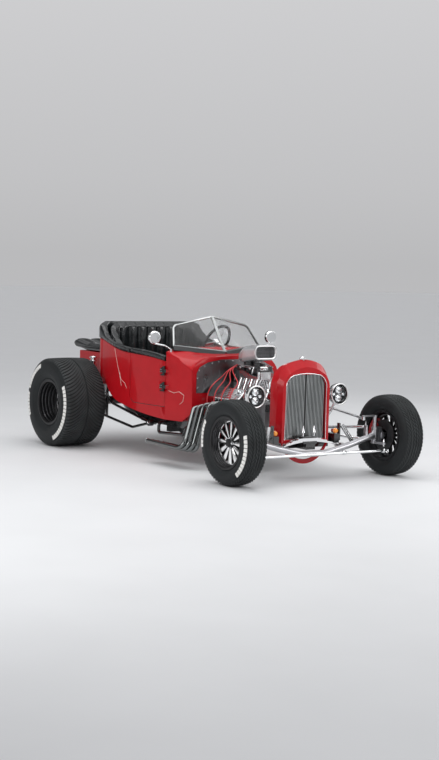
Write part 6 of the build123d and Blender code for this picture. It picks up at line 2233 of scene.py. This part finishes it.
    def rolls(self, run: np.ndarray, pitch: float, seam: float, width: float, belly: float) -> np.ndarray:
        """Depths across a row of rolls: round bellies with a seam between each two.

        Args:
            run: Distance across the rolls, 0 in the middle of one.
            pitch: Distance from roll to roll.
            seam: Depth of a seam.
            width: Half the width of a seam.
            belly: How far a roll's edge lies under its middle.

        Returns:
            The depths.
        """
        phase = (run / pitch + 0.5) % 1.0 - 0.5
        return seam * self.groove((0.5 - np.abs(phase)) * pitch, width) + belly * 4 * phase * phase

    def back_channels(self, pad: Thing) -> None:
        """Upright rolls round the seat's back, with rounded top corners.

        Args:
            pad: The piece.
        """
        self.rounded_corners(pad, 0.110)

        def depth(p: np.ndarray, n: np.ndarray) -> np.ndarray:
            """Depth of the seams and the roundness of the rolls between them.

            Args:
                p: Places.
                n: Normals.

            Returns:
                The depths.
            """
            away, ahead = np.abs(p[:, 1]), p[:, 0] - self.corner_x
            turn = np.arctan2(np.maximum(away - self.corner_y, 0), np.maximum(-ahead, 1e-6))
            run = np.minimum(away, self.corner_y) + self.corner_radius * turn + np.maximum(ahead, 0)
            upright = np.clip((p[:, 2] - 0.70) / 0.03, 0, 1) * np.clip(1.2 - np.abs(n[:, 2]), 0.25, 1)
            return self.rolls(run, *self.BACK_ROLLS) * upright

        self.carved(pad, depth)
        self.wrinkled(pad, 0.0016)

    def cushion_channels(self, pad: Thing) -> None:
        """Rolls that run fore and aft on the bench, and a boxed edge with piping.

        Args:
            pad: The piece.
        """

        def depth(p: np.ndarray, n: np.ndarray) -> np.ndarray:
            """Depth of the seams on the top and front faces, and of the piping.

            Args:
                p: Places.
                n: Normals.

            Returns:
                The depths.
            """
            top = np.clip(n[:, 2] * 1.6, 0, 1) * np.clip((p[:, 2] - 0.62) / 0.02, 0, 1)
            front = np.clip(n[:, 0] * 1.5, 0, 1) * np.clip((p[:, 2] - self.cushion_edge) / 0.01, 0, 1)
            welt = 0.005 * self.groove(p[:, 2] - self.cushion_edge, 0.008)
            upright = 1 - np.clip(np.abs(n[:, 2]) * 2, 0, 1)
            return self.rolls(p[:, 1], *self.CUSHION_ROLLS) * np.maximum(top, front) + welt * upright

        self.carved(pad, depth)
        self.wrinkled(pad, 0.0015)

    def cover_channels(self, pad: Thing) -> None:
        """A cover that rises to its rear tip, with seams on top and folds along its sides.

        Args:
            pad: The piece.
        """
        low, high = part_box("bed_roll")
        for corner in pad.data.vertices:
            share = min(1.0, (corner.co.x - low.x) / self.tip_length)
            lift = (corner.co.z - low.z) / (high.z - low.z)
            corner.co.z += self.tip_rise * (1 - share) * (1 - lift) - self.tip_drop * share * lift

        def depth(p: np.ndarray, n: np.ndarray) -> np.ndarray:
            """Depth of the seams, the rolled edge and the pulled folds.

            Args:
                p: Places.
                n: Normals.

            Returns:
                The depths.
            """
            up = np.clip(n[:, 2] * 2, 0, 1)
            seam = self.rolls(p[:, 1], *self.COVER_ROLLS) * up
            edge = 0.009 * self.groove(np.abs(p[:, 1]) - 0.386, 0.014) * up
            fold = 0.007 * self.groove(p[:, 2] - 0.872, 0.013) * (1 - np.clip(np.abs(n[:, 2]) * 1.6, 0, 1))
            return seam + edge + fold

        self.carved(pad, depth)
        self.wrinkled(pad, 0.003)

    def rim_seams(self, pad: Thing) -> None:
        """Round top corners at the rear, and gathers across the rolled rim at even steps.

        Args:
            pad: The piece.
        """
        if max(v.co.z for v in pad.data.vertices) > 1.0:
            self.rounded_corners(pad, 0.080)

        def depth(p: np.ndarray, n: np.ndarray) -> np.ndarray:
            """Depth of the gathers.

            Args:
                p: Places.
                n: Normals.

            Returns:
                The depths.
            """
            run = p[:, 0] + 0.6 * np.abs(p[:, 1])
            phase = (run / self.gather_pitch + 0.25) % 1.0 - 0.5
            return 0.004 * self.groove(np.abs(phase) * self.gather_pitch, 0.010)

        self.carved(pad, depth)
        self.wrinkled(pad, 0.0012)

    def rounded_corners(self, pad: Thing, radius: float) -> None:
        """Brings the high rear corners in to a round of the radius, seen from the front quarter.

        Args:
            pad: The piece.
            radius: The radius.
        """
        along = self.view_slope
        places = [(v.co, along.x * v.co.x + along.y * abs(v.co.y)) for v in pad.data.vertices]
        high = max(p.z for p, _ in places)
        edge = min(reach for p, reach in places if p.z > high - radius)
        for p, reach in places:
            out, up = edge + radius - reach, p.z - high + radius
            span = hypot(out, up)
            if out > 0 and up > 0 and span > radius:
                share = 1 - radius / span
                p.x += along.x * out * share
                p.y -= along.y * out * share * (-1 if p.y > 0 else 1)
                p.z -= up * share

    def wrinkled(self, pad: Thing, amount: float) -> None:
        """Soft wrinkles from smooth noise, up to the amount in depth.

        Args:
            pad: The piece.
            amount: The deepest wrinkle.
        """

        def depth(p: np.ndarray, n: np.ndarray) -> np.ndarray:
            """Depth of the wrinkles.

            Args:
                p: Places.
                n: Normals.

            Returns:
                The depths.
            """
            heights = [0.5 + 0.5 * noise.noise(Vector((x * 11, y * 11, z * 16))) for x, y, z in p]
            return amount * np.clip(heights, 0, 1)

        self.carved(pad, depth)


@dataclass(frozen=True)
class SoftBox:
    """One large soft light: where it hangs, where it points, its size in metres and its power in watts."""

    name: str
    spot: Point
    target: Point
    wide: float
    high: float
    watts: float


@dataclass(frozen=True)
class Studio:
    """Plain pale floor, soft studio light and the photograph's camera."""

    position: tuple[float, float, float] = (10.8272, -7.4837, 1.721)
    azimuth: float = 55.1023
    pitch: float = 4.5408
    roll: float = 1.8016
    focal_pixels: float = 1525.02
    picture_pixels: float = 760.0
    sensor: float = 36.0
    floor_size: float = 60.0
    floor_z: float = -0.001
    light_levels: Profile = ((0.0, 0.30), (0.12, 0.55), (0.42, 0.85), (1.0, 1.0))
    light_strength: float = 0.80
    backdrop_levels: Profile = (
        (0.0, 0.492), (0.05, 0.54), (0.17, 0.62), (0.24, 0.10), (0.48, 0.07), (0.62, 0.60), (1.0, 0.95),
    )
    boxes: tuple[SoftBox, ...] = (
        SoftBox("top", (0.3, -0.4, 4.6), (0.0, 0.0, 0.4), 5.0, 3.2, 95.0),
        SoftBox("right", (2.4, -5.6, 2.9), (0.2, 0.0, 0.6), 4.2, 2.2, 105.0),
        SoftBox("ahead", (5.4, 3.0, 2.5), (-0.8, 0.0, 0.8), 3.8, 2.2, 100.0),
        SoftBox("left", (-0.8, 5.6, 3.4), (0.0, 0.0, 0.6), 3.6, 2.0, 50.0),
    )

    def build(self) -> None:
        """Builds the whole studio."""
        self.camera()
        self.floor()
        self.world()
        self.lamps()
        bpy.context.scene.view_settings.view_transform = "Standard"

    def camera(self) -> None:
        """The camera at the photograph's place, turned and rolled as measured."""
        data = bpy.data.cameras.new("view")
        data.sensor_width = self.sensor
        data.sensor_fit = "AUTO"
        data.lens = self.focal_pixels * self.sensor / self.picture_pixels
        data.clip_end = 200
        a, e, r = radians(self.azimuth), radians(self.pitch), radians(self.roll)
        right = Vector((cos(a), sin(a), 0))
        ahead = Vector((-sin(a) * cos(e), cos(a) * cos(e), -sin(e)))
        above = right.cross(ahead)
        turn = Matrix((right * cos(r) + above * sin(r), above * cos(r) - right * sin(r), -ahead)).transposed()
        thing = link("view", data)
        thing.matrix_world = Matrix.Translation(self.position) @ turn.to_4x4()
        bpy.context.scene.camera = thing

    def floor(self) -> None:
        """The pale floor."""
        w, z = self.floor_size, self.floor_z
        mesh = mesh_of([(-w, -w, z), (w, -w, z), (w, w, z), (-w, w, z)], [(0, 1, 2, 3)])
        dressed("studio_floor", mesh, PALETTE.floor)

    def world(self) -> None:
        """A soft world that lights from above, and a pale backdrop for the camera, metal and glass."""
        world = bpy.data.worlds.new("studio")
        bpy.context.scene.world = world
        world.use_nodes = True
        tree = world.node_tree
        tree.nodes.clear()
        spot = wired(tree, "ShaderNodeTexCoord").outputs["Generated"]
        height = wired(tree, "ShaderNodeSeparateXYZ", (0, spot)).outputs["Z"]
        light = self.sky(tree, height, self.light_levels, self.light_strength)
        shown = self.sky(tree, height, self.backdrop_levels, 1.0)
        path = wired(tree, "ShaderNodeLightPath").outputs
        seen = path["Is Camera Ray"]
        for kind in ("Is Glossy Ray", "Is Transmission Ray"):
            seen = wired(tree, "ShaderNodeMath", (0, seen), (1, path[kind]), operation="MAXIMUM").outputs[0]
        mix = wired(tree, "ShaderNodeMixShader", (0, seen), (1, light), (2, shown))
        wired(tree, "ShaderNodeOutputWorld", ("Surface", mix.outputs[0]))

    @staticmethod
    def sky(
        tree: Tree, height: Socket, levels: Profile, strength: float
    ) -> Socket:
        """A background whose grey level follows the height of the direction looked in.

        Args:
            tree: The world's node tree.
            height: The socket that gives the height.
            levels: Pairs of height, from 0 at the horizon to 1 overhead, and grey level.
            strength: The background's strength.

        Returns:
            The background's output.
        """
        ramp = wired(tree, "ShaderNodeValToRGB", ("Fac", height))
        elements = ramp.color_ramp.elements
        elements[0].position, elements[1].position = levels[0][0], levels[-1][0]
        for position, _ in levels[1:-1]:
            elements.new(position)
        for element, (_, level) in zip(elements, levels):
            element.color = (level, level, level * 1.02, 1)
        feeds = ("Color", ramp.outputs["Color"]), ("Strength", strength)
        return wired(tree, "ShaderNodeBackground", *feeds).outputs[0]

    def lamps(self) -> None:
        """Large soft boxes above, to the right, ahead and to the left."""
        for box in self.boxes:
            data = bpy.data.lights.new(box.name, "AREA")
            data.shape = "RECTANGLE"
            data.size, data.size_y = box.wide, box.high
            data.energy = box.watts
            lamp = link(box.name, data)
            lamp.location = box.spot
            lamp.rotation_euler = (Vector(box.target) - Vector(box.spot)).to_track_quat("-Z", "Y").to_euler()


def main() -> None:
    """Builds every sub-assembly in order."""
    logging.basicConfig(level=logging.INFO, format="%(message)s")
    for assembly in (Tyres(), Wheels(), Body(), Grille(), Lamps(), Engine(), Exhaust(), Chassis(), Steering(),
                     Mirrors(), Glazing(), Upholstery(), Studio()):
        LOG.info("building %s", type(assembly).__name__)
        assembly.build()


if __name__ == "__main__":
    main()
